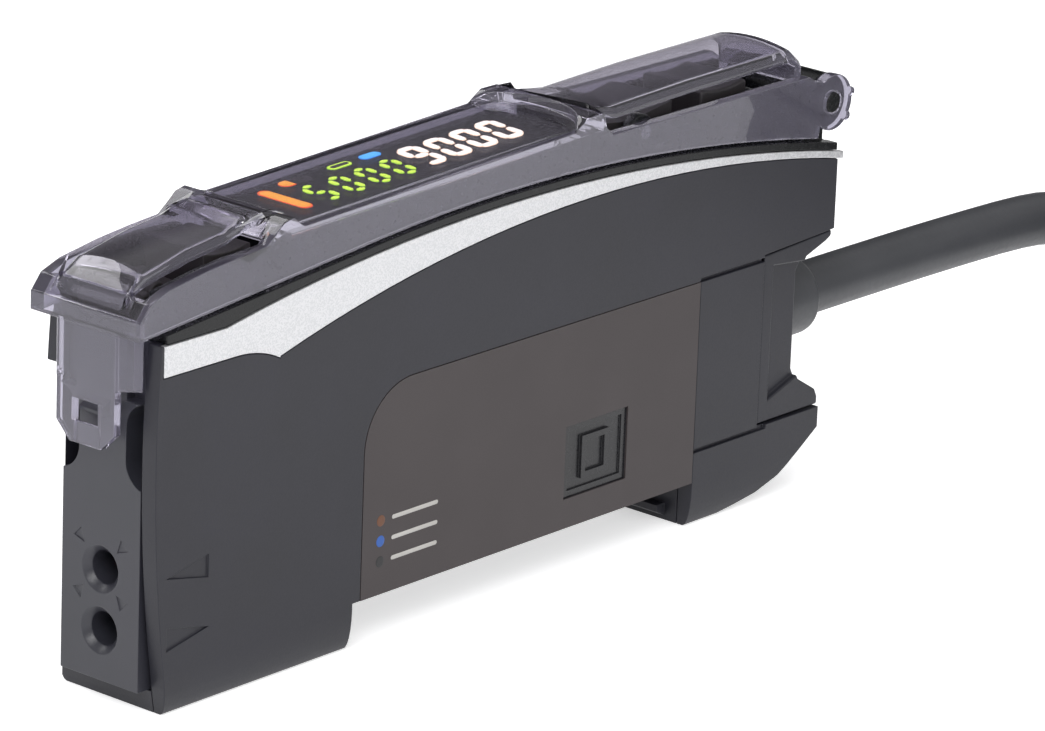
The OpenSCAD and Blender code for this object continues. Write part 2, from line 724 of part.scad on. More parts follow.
// Moulded bushing on the cable
module cable_bushing() {
    tail_len = 1.6;
    tip = 0.6;
    color("#2f3033") placed() translate([0, 0, cable_z]) rotate([0, 90, 0]) {
        translate([0, 0, clamp_x0 + seat_gap])
            cylinder(d = bushing_d, h = bushing_x1 - clamp_x0 - seat_gap - tip);
        translate([0, 0, bushing_x1 - tip]) cylinder(d1 = bushing_d, d2 = bushing_d - 2 * tip, h = tip);
        translate([0, 0, clamp_x0 - tail_len])
            cylinder(d = core_hole_d - 2 * seat_gap, h = tail_len + 2 * seat_gap);
    }
}

// Upright main board on the posts of the tub
module main_board() {
    color("#2f6b45") placed()
        bar([cavity_x0 + 0.5, main_board_y[0], cavity_z0 + 0.4],
            [cavity_x1 - 0.5, main_board_y[1], key_board_z - 0.6]);
}

// Chip, capacitor or the like that stands tall on the main board, with its corner at x, z
module board_part(x, z, w, h, tall) bar([x, main_board_y[0] - tall, z], [x + w, main_board_y[0], z + h]);

// Chips, coil and capacitors on the main board, at shares of its length
module board_parts() {
    run = cavity_x1 - cavity_x0;
    z = cavity_z0 + chip_w;
    color("#26272a") placed() {
        board_part(cavity_x0 + run * 0.24, z - chip_w * 0.35, chip_w, chip_w, board_t);
        for (share = [0.46, 0.67])
            board_part(cavity_x0 + run * share, z + cap_h / 2, driver_w, driver_w, board_t);
        for (share = [0.09, 0.17, 0.8, 0.86])
            board_part(cavity_x0 + run * share, z + 2.2 * cap_h, cap_w, cap_h, cap_w / 2);
        translate([cavity_x0 + run * 0.86, main_board_y[0], z]) rotate([90, 0, 0])
            cylinder(d = driver_w, h = cap_h * 0.7);
    }
}

// Level board under the panel, with the switches of the keys
module key_board() {
    color("#2f6b45") placed()
        bar([cavity_x0 + 0.3, -deck_y + 0.9, key_board_z],
            [cavity_x1 - 0.3, deck_y - 0.9, key_board_z + board_t]);
}

module key_switches() {
    color("#3a3b3f") placed() for (x = [tune_x + 0.7, rocker_x - switch_x, rocker_x + switch_x, mode_x - 0.6])
        translate([x, 0, key_board_z + board_t]) cylinder(d = switch_d, h = switch_h);
}

// Light box of the display, on the key board
module display_module() {
    z0 = key_board_z + board_t;
    color("#17181a") placed() across(-deck_y + 0.9, deck_y - 0.9) intersection() {
        housing_area(z0, 1.1);
        screen_band(2.4, far);
    }
}

// Black screen in the mouth of the housing
module display_screen() {
    color("#08080a") placed() across(-deck_y + 0.85, deck_y - 0.85) intersection() {
        housing_area(key_board_z, 1.05);
        screen_band(1.2, 1.2);
    }
}

// Band that lies depth below the window's outer face and is thick
module screen_band(depth, thick) {
    polygon([[-far, window_z(-far) - depth], [far, window_z(far) - depth],
             [far, window_z(far) - depth - thick], [-far, window_z(-far) - depth - thick]]);
}

// Thin lit plate on the screen, on an area given from above
module lit(x0, x1, y0, y1) {
    across(y0, y1) intersection() {
        screen_band(1.1, 0.1);
        translate([x0, 0]) square([x1 - x0, far]);
    }
}

module level_digits() {
    x = window_x0 + 16.7;
    color("#f4f1ea") placed() for (i = [0:3]) lit(x + 2.61 * i, x + 2 + 2.61 * i, -1.8, 2);
}

module threshold_digits() {
    x = window_x0 + 6.5;
    color("#bef032") placed() for (i = [0:3]) lit(x + 2.5 * i, x + 1.5 + 2.5 * i, -2, 1.2);
}

// Upright bar beside the digits and three lamps above them
module status_lamps() {
    x = window_x0;
    color("#ff8a1e") placed() {
        lit(x + 4.2, x + 5.2, -2, 2.6);
        lit(x + 6.5, x + 10.2, 1.9, 2.95);
        lit(x + 11.3, x + 13.4, 2.2, 2.9);
        lit(x + 14.5, x + 16.3, 2.2, 2.9);
    }
}

// Light source and detector behind the two fibre holes
module optic(z) {
    translate([block_x1, 0, z]) rotate([0, 90, 0]) {
        cylinder(d = 3.2, h = 1.2);
        cylinder(d = 2.6, h = cavity_x0 - block_x1 + 0.3);
    }
}

module emitter() color("#b8322a") placed() optic(fibre_zs[1]);

module receiver() color("#3d3f46") placed() optic(fibre_zs[0]);

// Push key on a stem, with a dished top
module push_key(x, len, top, deck) {
    stem_z = key_board_z + board_t + switch_h + key_travel + 0.05;
    difference() {
        union() {
            bar([x - len / 2, -key_w / 2, deck + key_travel + 0.1], [x + len / 2, key_w / 2, top]);
            bar([x - len / 2 + 1.1, -key_w / 2 + 1.1, stem_z],
                [x + len / 2 - 1.1, key_w / 2 - 1.1, deck + key_travel + 0.2]);
        }
        translate([x, 0, top + 8.8]) rotate([90, 0, 0])
            cylinder(r = 9, h = key_w + over, center = true, $fn = 120);
    }
}

module tune_key() color("#3b3c41") placed() push_key(tune_x, tune_len, tune_top, deck_z);

module mode_key() color("#3b3c41") placed() push_key(mode_x, mode_len, key_top, rear_deck_z);

// Two-way key that rocks on its pin
module updown_rocker() {
    bottom = rear_deck_z + 0.75;
    foot_z = key_board_z + board_t + switch_h + 0.6;
    color("#3b3c41") placed() difference() {
        union() {
            across(-key_w / 2, key_w / 2)
                polygon([[rocker_x - rocker_len / 2, bottom], [rocker_x + rocker_len / 2, bottom],
                         [rocker_x + rocker_len / 2, key_top], [rocker_x + 1, key_top - 0.5],
                         [rocker_x - 1, key_top - 0.5], [rocker_x - rocker_len / 2, key_top]]);
            for (side = [-1, 1]) translate([rocker_x + side * switch_x, 0, foot_z])
                translate([-0.6, -1.5, 0]) cube([1.2, 3, bottom - foot_z + seat_gap]);
        }
        translate([rocker_x, -half_w, rocker_pin_z]) rotate([-90, 0, 0])
            cylinder(d = rocker_pin_d + 2 * pin_gap, h = body_w);
    }
}

// Pin of the two-way key, pressed into the frame's cheeks
module rocker_pin() {
    color("#b9bbbe") placed() translate([rocker_x, -deck_y, rocker_pin_z]) rotate([-90, 0, 0])
        cylinder(d = rocker_pin_d, h = 2 * deck_y);
}

function unit(v) = v / norm(v);

// Ring of points round a route's point, square to its direction
function ring(at, dir, r, n) =
    let(side = unit(cross(dir, [0, 0, 1])), rise = cross(side, dir))
    [for (i = [0:n - 1]) at + r * (cos(360 * i / n) * side + sin(360 * i / n) * rise)];

// Tube of one closed surface along a list of points
module tube(points, d, n = 8) {
    last = len(points) - 1;
    dirs = [for (i = [0:last]) unit(points[min(i + 1, last)] - points[max(i - 1, 0)])];
    verts = [for (i = [0:last]) each ring(points[i], dirs[i], d / 2, n)];
    walls = [for (i = [0:last - 1], j = [0:n - 1])
             [i * n + j, i * n + (j + 1) % n, (i + 1) * n + (j + 1) % n, (i + 1) * n + j]];
    start = [[for (j = [n - 1:-1:0]) j]];
    end = [[for (j = [0:n - 1]) last * n + j]];
    polyhedron(verts, concat(walls, start, end), convexity = 10);
}

module cable_run() color("#3a3b3d") tube(lead_points, cable_d);

// Outer shape of the wound cable
module cable_coil() {
    width = coil_rows * coil_pitch;
    color("#3a3b3d") translate([coil_at[0], coil_at[1], tie_t]) rotate_extrude($fn = 96)
        translate([coil_turn_r - width / 2, 0]) square([width, coil_layers * coil_pitch]);
}

module cable_tail() color("#3a3b3d") tube(tail_points, cable_d);

// Three ties round the coil, which rests on them
module coil_ties() {
    width = coil_rows * coil_pitch + 4 * seat_gap;
    height = coil_layers * coil_pitch;
    tie_w = 3;
    color("#1d1d1f") for (a = [20, 140, 280])
        translate([coil_at[0], coil_at[1], 0]) rotate([0, 0, a]) translate([coil_turn_r, 0, 0]) difference() {
            translate([-width / 2 - tie_t, -tie_w / 2, 0])
                cube([width + 2 * tie_t, tie_w, height + 2 * tie_t + seat_gap]);
            translate([-width / 2, -tie_w / 2 - over, tie_t])
                cube([width, tie_w + 2 * over, height + seat_gap]);
        }
}

module brown_core() color("#6b4226") tube(brown_points, core_d);

module blue_core() color("#2f5fb0") tube(blue_points, core_d);

module black_core() color("#1a1a1b") tube(black_points, core_d);

main_case();
side_cover();
fibre_block();
panel_frame();
near_trim();
far_trim();
side_label();
near_signal_window();
far_signal_window();
cable_clamp();
cable_bushing();
main_board();
board_parts();
key_board();
key_switches();
display_module();
display_screen();
level_digits();
threshold_digits();
status_lamps();
emitter();
receiver();
fibre_clamp();
lock_lever();
protective_cover();
tune_key();
updown_rocker();
rocker_pin();
mode_key();
cable_run();
cable_coil();
cable_tail();
coil_ties();
brown_core();
blue_core();
black_core();
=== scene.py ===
"""Looks of a fibre optic sensor amplifier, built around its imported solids.

Lengths are written in millimetres in the part's frame, and MM turns them to metres. X runs from the fibre
end to the cable, Y across the rail and Z up.
"""
from __future__ import annotations

import json
import logging
import math
from dataclasses import dataclass
from enum import Enum
from typing import Any, Sequence

import bmesh
import bpy
import numpy as np
from mathutils import Matrix, Vector

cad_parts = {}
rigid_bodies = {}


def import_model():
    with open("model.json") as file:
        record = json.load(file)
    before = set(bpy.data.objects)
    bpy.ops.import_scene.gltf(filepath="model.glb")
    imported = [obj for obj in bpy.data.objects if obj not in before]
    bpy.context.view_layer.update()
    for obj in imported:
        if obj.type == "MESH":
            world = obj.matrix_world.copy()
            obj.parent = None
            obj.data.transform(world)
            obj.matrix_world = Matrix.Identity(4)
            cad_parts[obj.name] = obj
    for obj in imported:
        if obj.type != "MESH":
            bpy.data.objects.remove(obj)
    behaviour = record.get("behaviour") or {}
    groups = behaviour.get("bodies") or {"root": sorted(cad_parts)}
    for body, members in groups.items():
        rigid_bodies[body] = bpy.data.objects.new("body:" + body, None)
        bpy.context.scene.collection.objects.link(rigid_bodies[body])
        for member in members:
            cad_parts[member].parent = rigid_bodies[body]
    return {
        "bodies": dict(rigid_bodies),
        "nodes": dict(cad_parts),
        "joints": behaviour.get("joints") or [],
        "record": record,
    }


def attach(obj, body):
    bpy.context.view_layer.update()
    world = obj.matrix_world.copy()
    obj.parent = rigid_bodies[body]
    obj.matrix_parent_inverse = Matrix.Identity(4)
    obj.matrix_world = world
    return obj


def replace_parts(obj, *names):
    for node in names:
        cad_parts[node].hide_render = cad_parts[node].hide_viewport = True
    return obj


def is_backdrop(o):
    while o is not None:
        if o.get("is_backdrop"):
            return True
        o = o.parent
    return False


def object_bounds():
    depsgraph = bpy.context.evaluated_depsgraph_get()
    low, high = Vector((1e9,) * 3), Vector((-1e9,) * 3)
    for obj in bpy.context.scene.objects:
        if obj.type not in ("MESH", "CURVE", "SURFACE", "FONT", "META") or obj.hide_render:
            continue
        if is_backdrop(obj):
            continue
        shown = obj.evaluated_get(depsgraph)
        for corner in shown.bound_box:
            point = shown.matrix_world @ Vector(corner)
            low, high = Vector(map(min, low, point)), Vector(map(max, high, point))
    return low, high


LOG = logging.getLogger("amplifier")
MM = 0.001
CASE, COVER = "case", "cover"
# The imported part, which main() loads
FRAME: dict[str, Any] = {}
# Edges of the solids that turn more than the first angle are eased, and those under the second are left out
EASED_ANGLE, FLAT_ANGLE = math.radians(28.0), math.radians(0.6)
# Weight of the large faces in the normals of eased edges, out of 100
FLAT_WEIGHT = 100
# Solids with steps finer than their easing: a clamped bevel would shrink to such a step on all their edges
FINE_NODES = ("protective_cover", "panel_frame", "lock_lever", "side_cover", "fibre_block")
# Distances in millimetres: points of a solid that are one, points on a cut, and points on a face
SAME_POINT, ON_CUT, ON_FACE = 0.002, 0.001, 0.01
# Steps of the solids that are closed before the easing, in millimetres: the usual ones, and a coarser solid's
LEAST_STEP, LEAST_STEPS = 0.01, {"protective_cover": 0.04}
# Octaves of the noise of a finish's shades, and of its grain
SOFT_DETAIL, GRAIN_DETAIL = 2.0, 3.0
# Shares of a noise over which two shades blend, and over which the gloss swings down to a least roughness
BLEND_SHARES, SWING_SHARES, LEAST_ROUGHNESS = (0.35, 0.65), (0.3, 0.7), 0.02
# A thin plate's foot in millimetres, then the share of its outline and the rise of each ring above it
PLATE_FOOT, PLATE_DOME = -0.02, ((1.0, 0.0), (0.8, 0.015), (0.45, 0.02))
# How far each ring of a plate is lit, the foot's first, and the points of a round-ended plate's ring
RIM_SHARES, PILL_POINTS = (0.0, 0.3, 0.9, 1.0), 24
PLATE_RINGS = len(RIM_SHARES)
# Faces of a box whose corners are counted by depth, width and height, the last one fastest
BOX_FACES = np.array([[0, 1, 3, 2], [4, 6, 7, 5], [0, 4, 5, 1], [2, 3, 7, 6], [0, 2, 6, 4], [1, 5, 7, 3]])


def rgba(code: str) -> tuple[float, float, float, float]:
    """Linear colour of an sRGB hex value.

    Args:
        code: six hex digits after a hash sign.

    Returns:
        Linear red, green and blue, and an alpha of 1.
    """
    srgb = np.array([int(code[i:i + 2], 16) for i in (1, 3, 5)]) / 255
    linear = np.where(srgb <= 0.04045, srgb / 12.92, ((srgb + 0.055) / 1.055) ** 2.4)
    return (*linear.tolist(), 1.0)


def add(tree: bpy.types.NodeTree, kind: str, links: dict[Any, Any] | None = None,
        **settings: Any) -> bpy.types.Node:
    """Adds a node with its settings, values and links.

    Args:
        tree: tree that gets the node.
        kind: node type, without the ShaderNode prefix.
        links: value or socket of each input, by its name or number.
        settings: attributes of the node.

    Returns:
        The new node.
    """
    node = tree.nodes.new("ShaderNode" + kind)
    for name, value in settings.items():
        setattr(node, name, value)
    for name, value in (links or {}).items():
        if isinstance(value, bpy.types.NodeSocket):
            tree.links.new(value, node.inputs[name])
        else:
            node.inputs[name].default_value = value
    return node


@dataclass(frozen=True)
class Finish:
    """A surface: its name, colour and gloss, with a fine relief where it has one.

    The colour runs between two shades by a soft noise of spread_mm, and the relief is noise of grain_mm.
    """

    name: str
    colour: str
    shade: str
    roughness: float = 0.45
    metallic: float = 0.0
    ior: float = 1.5
    spread_mm: float = 6.0
    grain_mm: float = 0.16
    relief: float = 0.12
    relief_mm: float = 0.02
    swing: float = 0.05

    def start(self) -> tuple[bpy.types.Material, bpy.types.NodeTree]:
        """New empty material with its output node."""
        material = bpy.data.materials.new(self.name)
        material.use_nodes = True
        material.node_tree.nodes.clear()
        add(material.node_tree, "OutputMaterial")
        return material, material.node_tree

    def end(self, tree: bpy.types.NodeTree, shader: bpy.types.NodeSocket) -> None:
        """Links a shader to the material's output."""
        tree.links.new(shader, tree.nodes["Material Output"].inputs["Surface"])

    def noise(self, tree: bpy.types.NodeTree, size_mm: float,
              detail: float = SOFT_DETAIL) -> bpy.types.NodeSocket:
        """Noise on Object coordinates, with features of size_mm."""
        place = add(tree, "TexCoord").outputs["Object"]
        scale = 1 / (size_mm * MM)
        return add(tree, "TexNoise", {"Vector": place, "Scale": scale, "Detail": detail}).outputs[0]

    def blend(self, tree: bpy.types.NodeTree, share: bpy.types.NodeSocket) -> bpy.types.NodeSocket:
        """Colour between the finish's two shades."""
        ramp = add(tree, "ValToRGB", {"Fac": share})
        low, high = ramp.color_ramp.elements
        low.position, high.position = BLEND_SHARES
        low.color, high.color = rgba(self.shade), rgba(self.colour)
        return ramp.outputs["Color"]

    def gloss(self, tree: bpy.types.NodeTree, share: bpy.types.NodeSocket) -> bpy.types.NodeSocket:
        """Roughness that swings about its value."""
        low, high = max(self.roughness - self.swing, LEAST_ROUGHNESS), min(self.roughness + self.swing, 1.0)
        start, end = SWING_SHARES
        return add(tree, "MapRange", {0: share, 1: start, 2: end, 3: low, 4: high}).outputs[0]

    def bump(self, tree: bpy.types.NodeTree, height: bpy.types.NodeSocket) -> bpy.types.NodeSocket:
        """Normal from a height of relief_mm."""
        sizes = {"Strength": self.relief, "Distance": self.relief_mm * MM}
        return add(tree, "Bump", {"Height": height, **sizes}).outputs[0]

    def material(self) -> bpy.types.Material:
        """Material with the colour's soft change and the fine relief."""
        material, tree = self.start()
        soft = self.noise(tree, self.spread_mm)
        fine = self.noise(tree, self.grain_mm, GRAIN_DETAIL)
        shader = add(tree, "BsdfPrincipled", {
            "Base Color": self.blend(tree, soft), "Roughness": self.gloss(tree, fine),
            "Metallic": self.metallic, "IOR": self.ior, "Normal": self.bump(tree, fine)})
        self.end(tree, shader.outputs[0])
        return material


@dataclass(frozen=True)
class FlakeFinish(Finish):
    """Silver metallic lacquer that sparkles: cells of flake_mm, each of its own tone, gloss and tilt."""

    swing: float = 0.08
    flake_mm: float = 0.09

    def material(self) -> bpy.types.Material:
        """Material whose flakes are cells of a Voronoi pattern."""
        material, tree = self.start()
        place = add(tree, "TexCoord").outputs["Object"]
        cells = add(tree, "TexVoronoi", {"Vector": place, "Scale": 1 / (self.flake_mm * MM)})
        tone = add(tree, "SeparateColor", {0: cells.outputs["Color"]}).outputs[0]
        shader = add(tree, "BsdfPrincipled", {
            "Base Color": self.blend(tree, tone), "Roughness": self.gloss(tree, tone),
            "Metallic": self.metallic, "Normal": self.bump(tree, tone)})
        self.end(tree, shader.outputs[0])
        return material


@dataclass(frozen=True)
class SmokeFinish(Finish):
    """Clear polycarbonate with a smoke tint: each wall takes part of the light, and lamps shine in.

    A small share of the light, haze, is scattered in it.
    """

    haze: float = 0.14

    def material(self) -> bpy.types.Material:
        """Glass-like material that lets lamps through."""
        material, tree = self.start()
        fine = self.noise(tree, self.grain_mm)
        clear = add(tree, "BsdfPrincipled", {
            "Base Color": rgba(self.colour), "Roughness": self.roughness, "IOR": self.ior,
            "Transmission Weight": 1.0 - self.haze, "Normal": self.bump(tree, fine)})
        lamps = add(tree, "BsdfTransparent", {"Color": rgba(self.shade)})
        shadow = add(tree, "LightPath").outputs["Is Shadow Ray"]
        both = add(tree, "MixShader", {0: shadow, 1: clear.outputs[0], 2: lamps.outputs[0]})
        self.end(tree, both.outputs[0])
        return material


@dataclass(frozen=True)
class LitFinish(Finish):
    """Lit segment: a pale core that turns to the shade at its rim, by its mesh's attribute rim."""

    strength: float = 1.2
    glass: str = "#272727"

    def material(self) -> bpy.types.Material:
        """Material that shines by itself."""
        material, tree = self.start()
        rim = add(tree, "Attribute", attribute_name="rim").outputs["Fac"]
        glow = self.blend(tree, rim)
        shader = add(tree, "BsdfPrincipled", {
            "Base Color": rgba(self.glass), "Roughness": self.roughness,
            "Emission Color": glow, "Emission Strength": self.strength})
        self.end(tree, shader.outputs[0])
        return material


class Paint(Enum):
    """Every finish of the amplifier."""

    # Polycarbonate from a spark-eroded mould: a fine satin grain that breaks up highlights
    CASE = Finish("polycarbonate_charcoal", "#25252d", "#23232a", 0.42, ior=1.42, relief=0.24)
    # Same resin, painted lighter where it faces the fibres and the key lamp; the polished tool there adds
    # gloss
    BLOCK = Finish("polycarbonate_fibre_block_painted_lighter", "#33333b", "#303138", 0.36, grain_mm=0.14, relief=0.2)
    # Polished black polycarbonate: dark, with clean reflections
    PANEL = Finish("polycarbonate_black", "#101113", "#0d0e10", 0.25, ior=1.38, grain_mm=0.3, relief=0.05)
    # Dark grey keys with a dull moulded face
    KEY = Finish("abs_key_grey", "#2a2728", "#262324", 0.5)
    # Silver lacquer with flakes that sparkle
    TRIM = FlakeFinish("silver_flake_lacquer", "#dadadc", "#c8c9cb", 0.36, metallic=0.7, relief=0.15,
                       relief_mm=0.01)
    # Matte printed polyester film of a warm grey
    LABEL = Finish("polyester_label_film", "#413b3c", "#3e3839", 0.5, ior=1.44, grain_mm=0.1, relief=0.05)
    # Infrared-clear plastic, nearly black
    WINDOW = Finish("infrared_plastic", "#19191d", "#17171a", 0.3)
    # Smoke-clear polycarbonate of the cover
    SMOKE = SmokeFinish("polycarbonate_smoke", "#a9a5b2", "#d6d3d9", 0.02, grain_mm=5.0, relief=0.01,
                        haze=0.02)
    # The same on the cover's upright faces, where the mould leaves a faint satin that scatters light
    SMOKE_SIDE = SmokeFinish("polycarbonate_smoke_satin", "#adaab9", "#d6d3d9", 0.02, grain_mm=5.0,
                             relief=0.01)
    # Dull black mask of the display, which mirrors nearly nothing
    SCREEN = Finish("display_mask", "#0a0a0d", "#08080a", 0.5, ior=1.15, grain_mm=0.4, relief=0.02)
    # Lit digits and lamps, seen through the mask
    WHITE = LitFinish("lit_white", "#fffbe9", "#ffdcb4", 0.4, strength=4.6)
    GREEN = LitFinish("lit_green", "#d8ff48", "#9ad41a", 0.4, strength=4.0)
    ORANGE = LitFinish("lit_orange", "#ffae30", "#f4511c", 0.4, strength=3.6)
    BLUE = LitFinish("lit_blue", "#55c4ff", "#1c8cf0", 0.4, strength=3.6)
    # Lamps that are off: their dark diffusers show faintly
    UNLIT = Finish("unlit_lamp", "#33272b", "#2c2125", 0.5)
    # Soft PVC jacket: a dull sheen over a fine, uneven skin
    PVC = Finish("pvc_jacket", "#434448", "#3e3f43", 0.44, grain_mm=0.35, relief=0.2)
    # Nylon of the ties, and the insulation of the three cores
    TIE = Finish("nylon_black", "#202022", "#1b1b1d", 0.4)
    BROWN = Finish("pvc_brown", "#6a4128", "#5e3922", 0.45)
    BLUE_CORE = Finish("pvc_blue", "#2d5eae", "#2853a0", 0.45)
    BLACK_CORE = Finish("pvc_black", "#1d1d1f", "#19191b", 0.45)
    # Pale ink of the label's print
    INK = Finish("screen_ink", "#c9c6c2", "#bdbab6", 0.6, grain_mm=0.1)
    # Bare copper strands at the ends of the cores
    COPPER = Finish("copper_strands", "#c98a5e", "#b57448", 0.3, metallic=1.0, grain_mm=0.12, relief=0.4)
    # Ground steel of the pin and the grip plate
    STEEL = Finish("steel_ground", "#b9bbbe", "#a9abae", 0.28, metallic=1.0, grain_mm=0.2)
    # Glass-epoxy boards and moulded components inside
    BOARD = Finish("glass_epoxy_green", "#2f6b45", "#285c3b", 0.4)
    CHIP = Finish("epoxy_mould_black", "#26272a", "#202123", 0.55)
    RED_EPOXY = Finish("epoxy_red", "#b2352c", "#9e2d25", 0.15)

    def join(self, piece: bpy.types.Object) -> None:
        """Adds this finish to a piece, as its last one."""
        piece.data.materials.append(bpy.data.materials.get(self.value.name) or self.value.material())

    def dress(self, piece: bpy.types.Object) -> None:
        """Gives a piece this finish in place of what it had."""
        piece.data.materials.clear()
        self.join(piece)


def new_object(name: str, mesh: bpy.types.Mesh, body: str) -> bpy.types.Object:
    """Links a new object that rides on a body.

    Args:
        name: name of the object.
        mesh: its mesh or curve.
        body: body that carries it.

    Returns:
        The object, at the origin.
    """
    piece = bpy.data.objects.new(name, mesh)
    bpy.context.scene.collection.objects.link(piece)
    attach(piece, body)
    return piece


@dataclass(frozen=True)
class Bow:
    """Bow of a roof: where |y| is up to half, the height falls by sag * (y / half)^2.

    The sag starts from nothing at the roof's ends, over the length fade, and at the height low, over 1 mm.
    The planes that cut it cross at the ends and run along it, at shares of half that grow up to reach. A face
    belongs to it up to the length beyond past its end.
    """

    start: float
    end: float
    half: float
    low: float
    sag: float = 0.5
    fade: float = 2.4
    steps: int = 4
    reach: float = 0.8
    rows: int = 9
    beyond: float = 1.5

    def cuts(self) -> list[tuple[Vector, Vector]]:
        """Places and directions of the planes that cut the roof finely enough to bend."""
        ends = np.linspace(0, self.fade, self.steps + 1)
        places = (*(self.start + ends), *(self.end - ends))
        sides = np.linspace(-self.reach, self.reach, self.rows) * self.half
        across = [(Vector((x * MM, 0, 0)), Vector((1, 0, 0))) for x in places]
        return across + [(Vector((0, y * MM, 0)), Vector((0, 1, 0))) for y in sides]

    def holds(self, face: bmesh.types.BMFace) -> bool:
        """Whether a face is one of the roof's."""
        x, _, z = face.calc_center_median() / MM
        wide = max(abs(vertex.co.y) for vertex in face.verts) / MM
        return self.start < x < self.end + self.beyond and z > self.low - 1 and wide < self.half + ON_FACE

    def bend(self, points: np.ndarray) -> np.ndarray:
        """Points (x, y, z) in millimetres, with those of the roof lowered."""
        x, y, z = points.T
        ends = np.clip(np.minimum(x - self.start, self.end - x) / self.fade, 0, 1)
        share = ends * np.clip(z - self.low, 0, 1) * (np.abs(y) < self.half + ON_FACE)
        return np.column_stack([x, y, z - self.sag * share * (y / self.half) ** 2])


@dataclass(frozen=True)
class Facet:
    """Rounding along the upper edges of some side faces, which stand at given distances from the middle.

    Such an edge turns by least_turn or more, between a face that looks up and one that looks sideways.
    """

    width: float
    sides: tuple[float, ...]
    steps: int = 3
    least_turn: float = 0.6
    upwards: float = 0.3
    sideways: float = 0.9

    def marks(self, edge: bmesh.types.BMEdge) -> bool:
        """Whether an edge is one of those."""
        y = abs(edge.verts[0].co.y) / MM
        ways = [face.normal for face in edge.link_faces]
        beside = min(abs(y - side) for side in self.sides) < ON_FACE
        turns = edge.calc_face_angle(0.0) > self.least_turn
        upper = max(way.z for way in ways) > self.upwards
        return beside and turns and upper and max(abs(way.y) for way in ways) > self.sideways


def outward(mesh: bpy.types.Mesh) -> None:
    """Turns the faces of a closed mesh outwards."""
    shape = bmesh.new()
    shape.from_mesh(mesh)
    bmesh.ops.recalc_face_normals(shape, faces=shape.faces)
    shape.to_mesh(mesh)
    shape.free()


def ease(piece: bpy.types.Object, width_mm: float, segments: int = 2, clamp: bool = True) -> None:
    """Shades a piece smooth, and puts a bevel on its sharp edges with normals that keep flat faces flat.

    Args:
        piece: piece with a mesh.
        width_mm: width of the bevel.
        segments: steps across it.
        clamp: narrows the bevel where edges lie close together.
    """
    faces = piece.data.polygons
    faces.foreach_set("use_smooth", np.ones(len(faces), bool))
    bevel = piece.modifiers.new("easing", "BEVEL")
    bevel.width, bevel.segments, bevel.limit_method = width_mm * MM, segments, "ANGLE"
    bevel.angle_limit, bevel.use_clamp_overlap = EASED_ANGLE, clamp
    even = piece.modifiers.new("even_normals", "WEIGHTED_NORMAL")
    even.mode, even.weight = "FACE_AREA", FLAT_WEIGHT


def eased(node: str, body: str, width_mm: float, segments: int = 2, facet: Facet | None = None,
          bows: Sequence[Bow] = ()) -> bpy.types.Object:
    """Copy of a CAD node with eased edges, which stands for it.

    Args:
        node: CAD node.
        body: body that carries it.
        width_mm: width of the easing.
        segments: steps across it.
        facet: edges that are rounded before the easing.
        bows: roofs that are bowed.

    Returns:
        The copy, with a bevel on every sharp edge.
    """
    mesh = FRAME["nodes"][node].data.copy()
    shape = bmesh.new()
    shape.from_mesh(mesh)
    bmesh.ops.remove_doubles(shape, verts=shape.verts, dist=SAME_POINT * MM)
    bmesh.ops.dissolve_limit(shape, angle_limit=FLAT_ANGLE, verts=shape.verts, edges=shape.edges)
    for bow, (place, way) in ((bow, cut) for bow in bows for cut in bow.cuts()):
        roof = [face for face in shape.faces if bow.holds(face)]
        edges = {edge for face in roof for edge in face.edges}
        vertices = {vertex for face in roof for vertex in face.verts}
        bmesh.ops.bisect_plane(shape, geom=[*vertices, *edges, *roof], dist=ON_CUT * MM, plane_co=place,
                               plane_no=way)
    bmesh.ops.remove_doubles(shape, verts=shape.verts, dist=LEAST_STEPS.get(node, LEAST_STEP) * MM)
    weight = shape.edges.layers.float.new("bevel_weight_edge")
    for edge in shape.edges if facet else ():
        edge[weight] = float(facet.marks(edge))
    shape.to_mesh(mesh)
    shape.free()
    points = np.empty(3 * len(mesh.vertices))
    mesh.vertices.foreach_get("co", points)
    points = points.reshape(-1, 3) / MM
    for bow in bows:
        points = bow.bend(points)
    mesh.vertices.foreach_set("co", (points * MM).ravel())
    mesh.update()
    piece = new_object(node + "_eased", mesh, body)
    if facet:
        rounding = piece.modifiers.new("rounding", "BEVEL")
        rounding.width, rounding.segments, rounding.limit_method = facet.width * MM, facet.steps, "WEIGHT"
        rounding.use_clamp_overlap = False
    ease(piece, width_mm, segments, node not in FINE_NODES)
    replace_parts(piece, node)
    LOG.info("%s: edges eased by %.2f mm", node, width_mm)
    return piece


def grid_faces(rows: int, columns: int, closed: bool = False) -> np.ndarray:
    """Quads of a grid of points, row by row.

    Args:
        rows: number of rows.
        columns: points in a row.
        closed: joins each row's end to its start.

    Returns:
        Array of four point numbers for each quad.
    """
    across = columns if closed else columns - 1
    row, column = np.meshgrid(np.arange(rows - 1), np.arange(across), indexing="ij")
    beside = (column + 1) % columns
    low, high = row * columns, (row + 1) * columns
    return np.stack([low + column, low + beside, high + beside, high + column], -1).reshape(-1, 4)


@dataclass(frozen=True)
class Lamp:
    """Soft box: its place, aim, width and height in millimetres, and its power in watts."""

    name: str
    place: tuple[float, float, float]
    aim: tuple[float, float, float]
    size: tuple[float, float]
    power: float

    def build(self) -> None:
        """Adds the lamp to the scene."""
        data = bpy.data.lights.new(self.name, "AREA")
        data.shape, data.energy = "RECTANGLE", self.power
        data.size, data.size_y = self.size[0] * MM, self.size[1] * MM
        lamp = bpy.data.objects.new(self.name, data)
        lamp.location = Vector(self.place) * MM
        lamp.rotation_euler = (Vector(self.aim) - Vector(self.place)).to_track_quat("-Z", "Y").to_euler()
        bpy.context.scene.collection.objects.link(lamp)


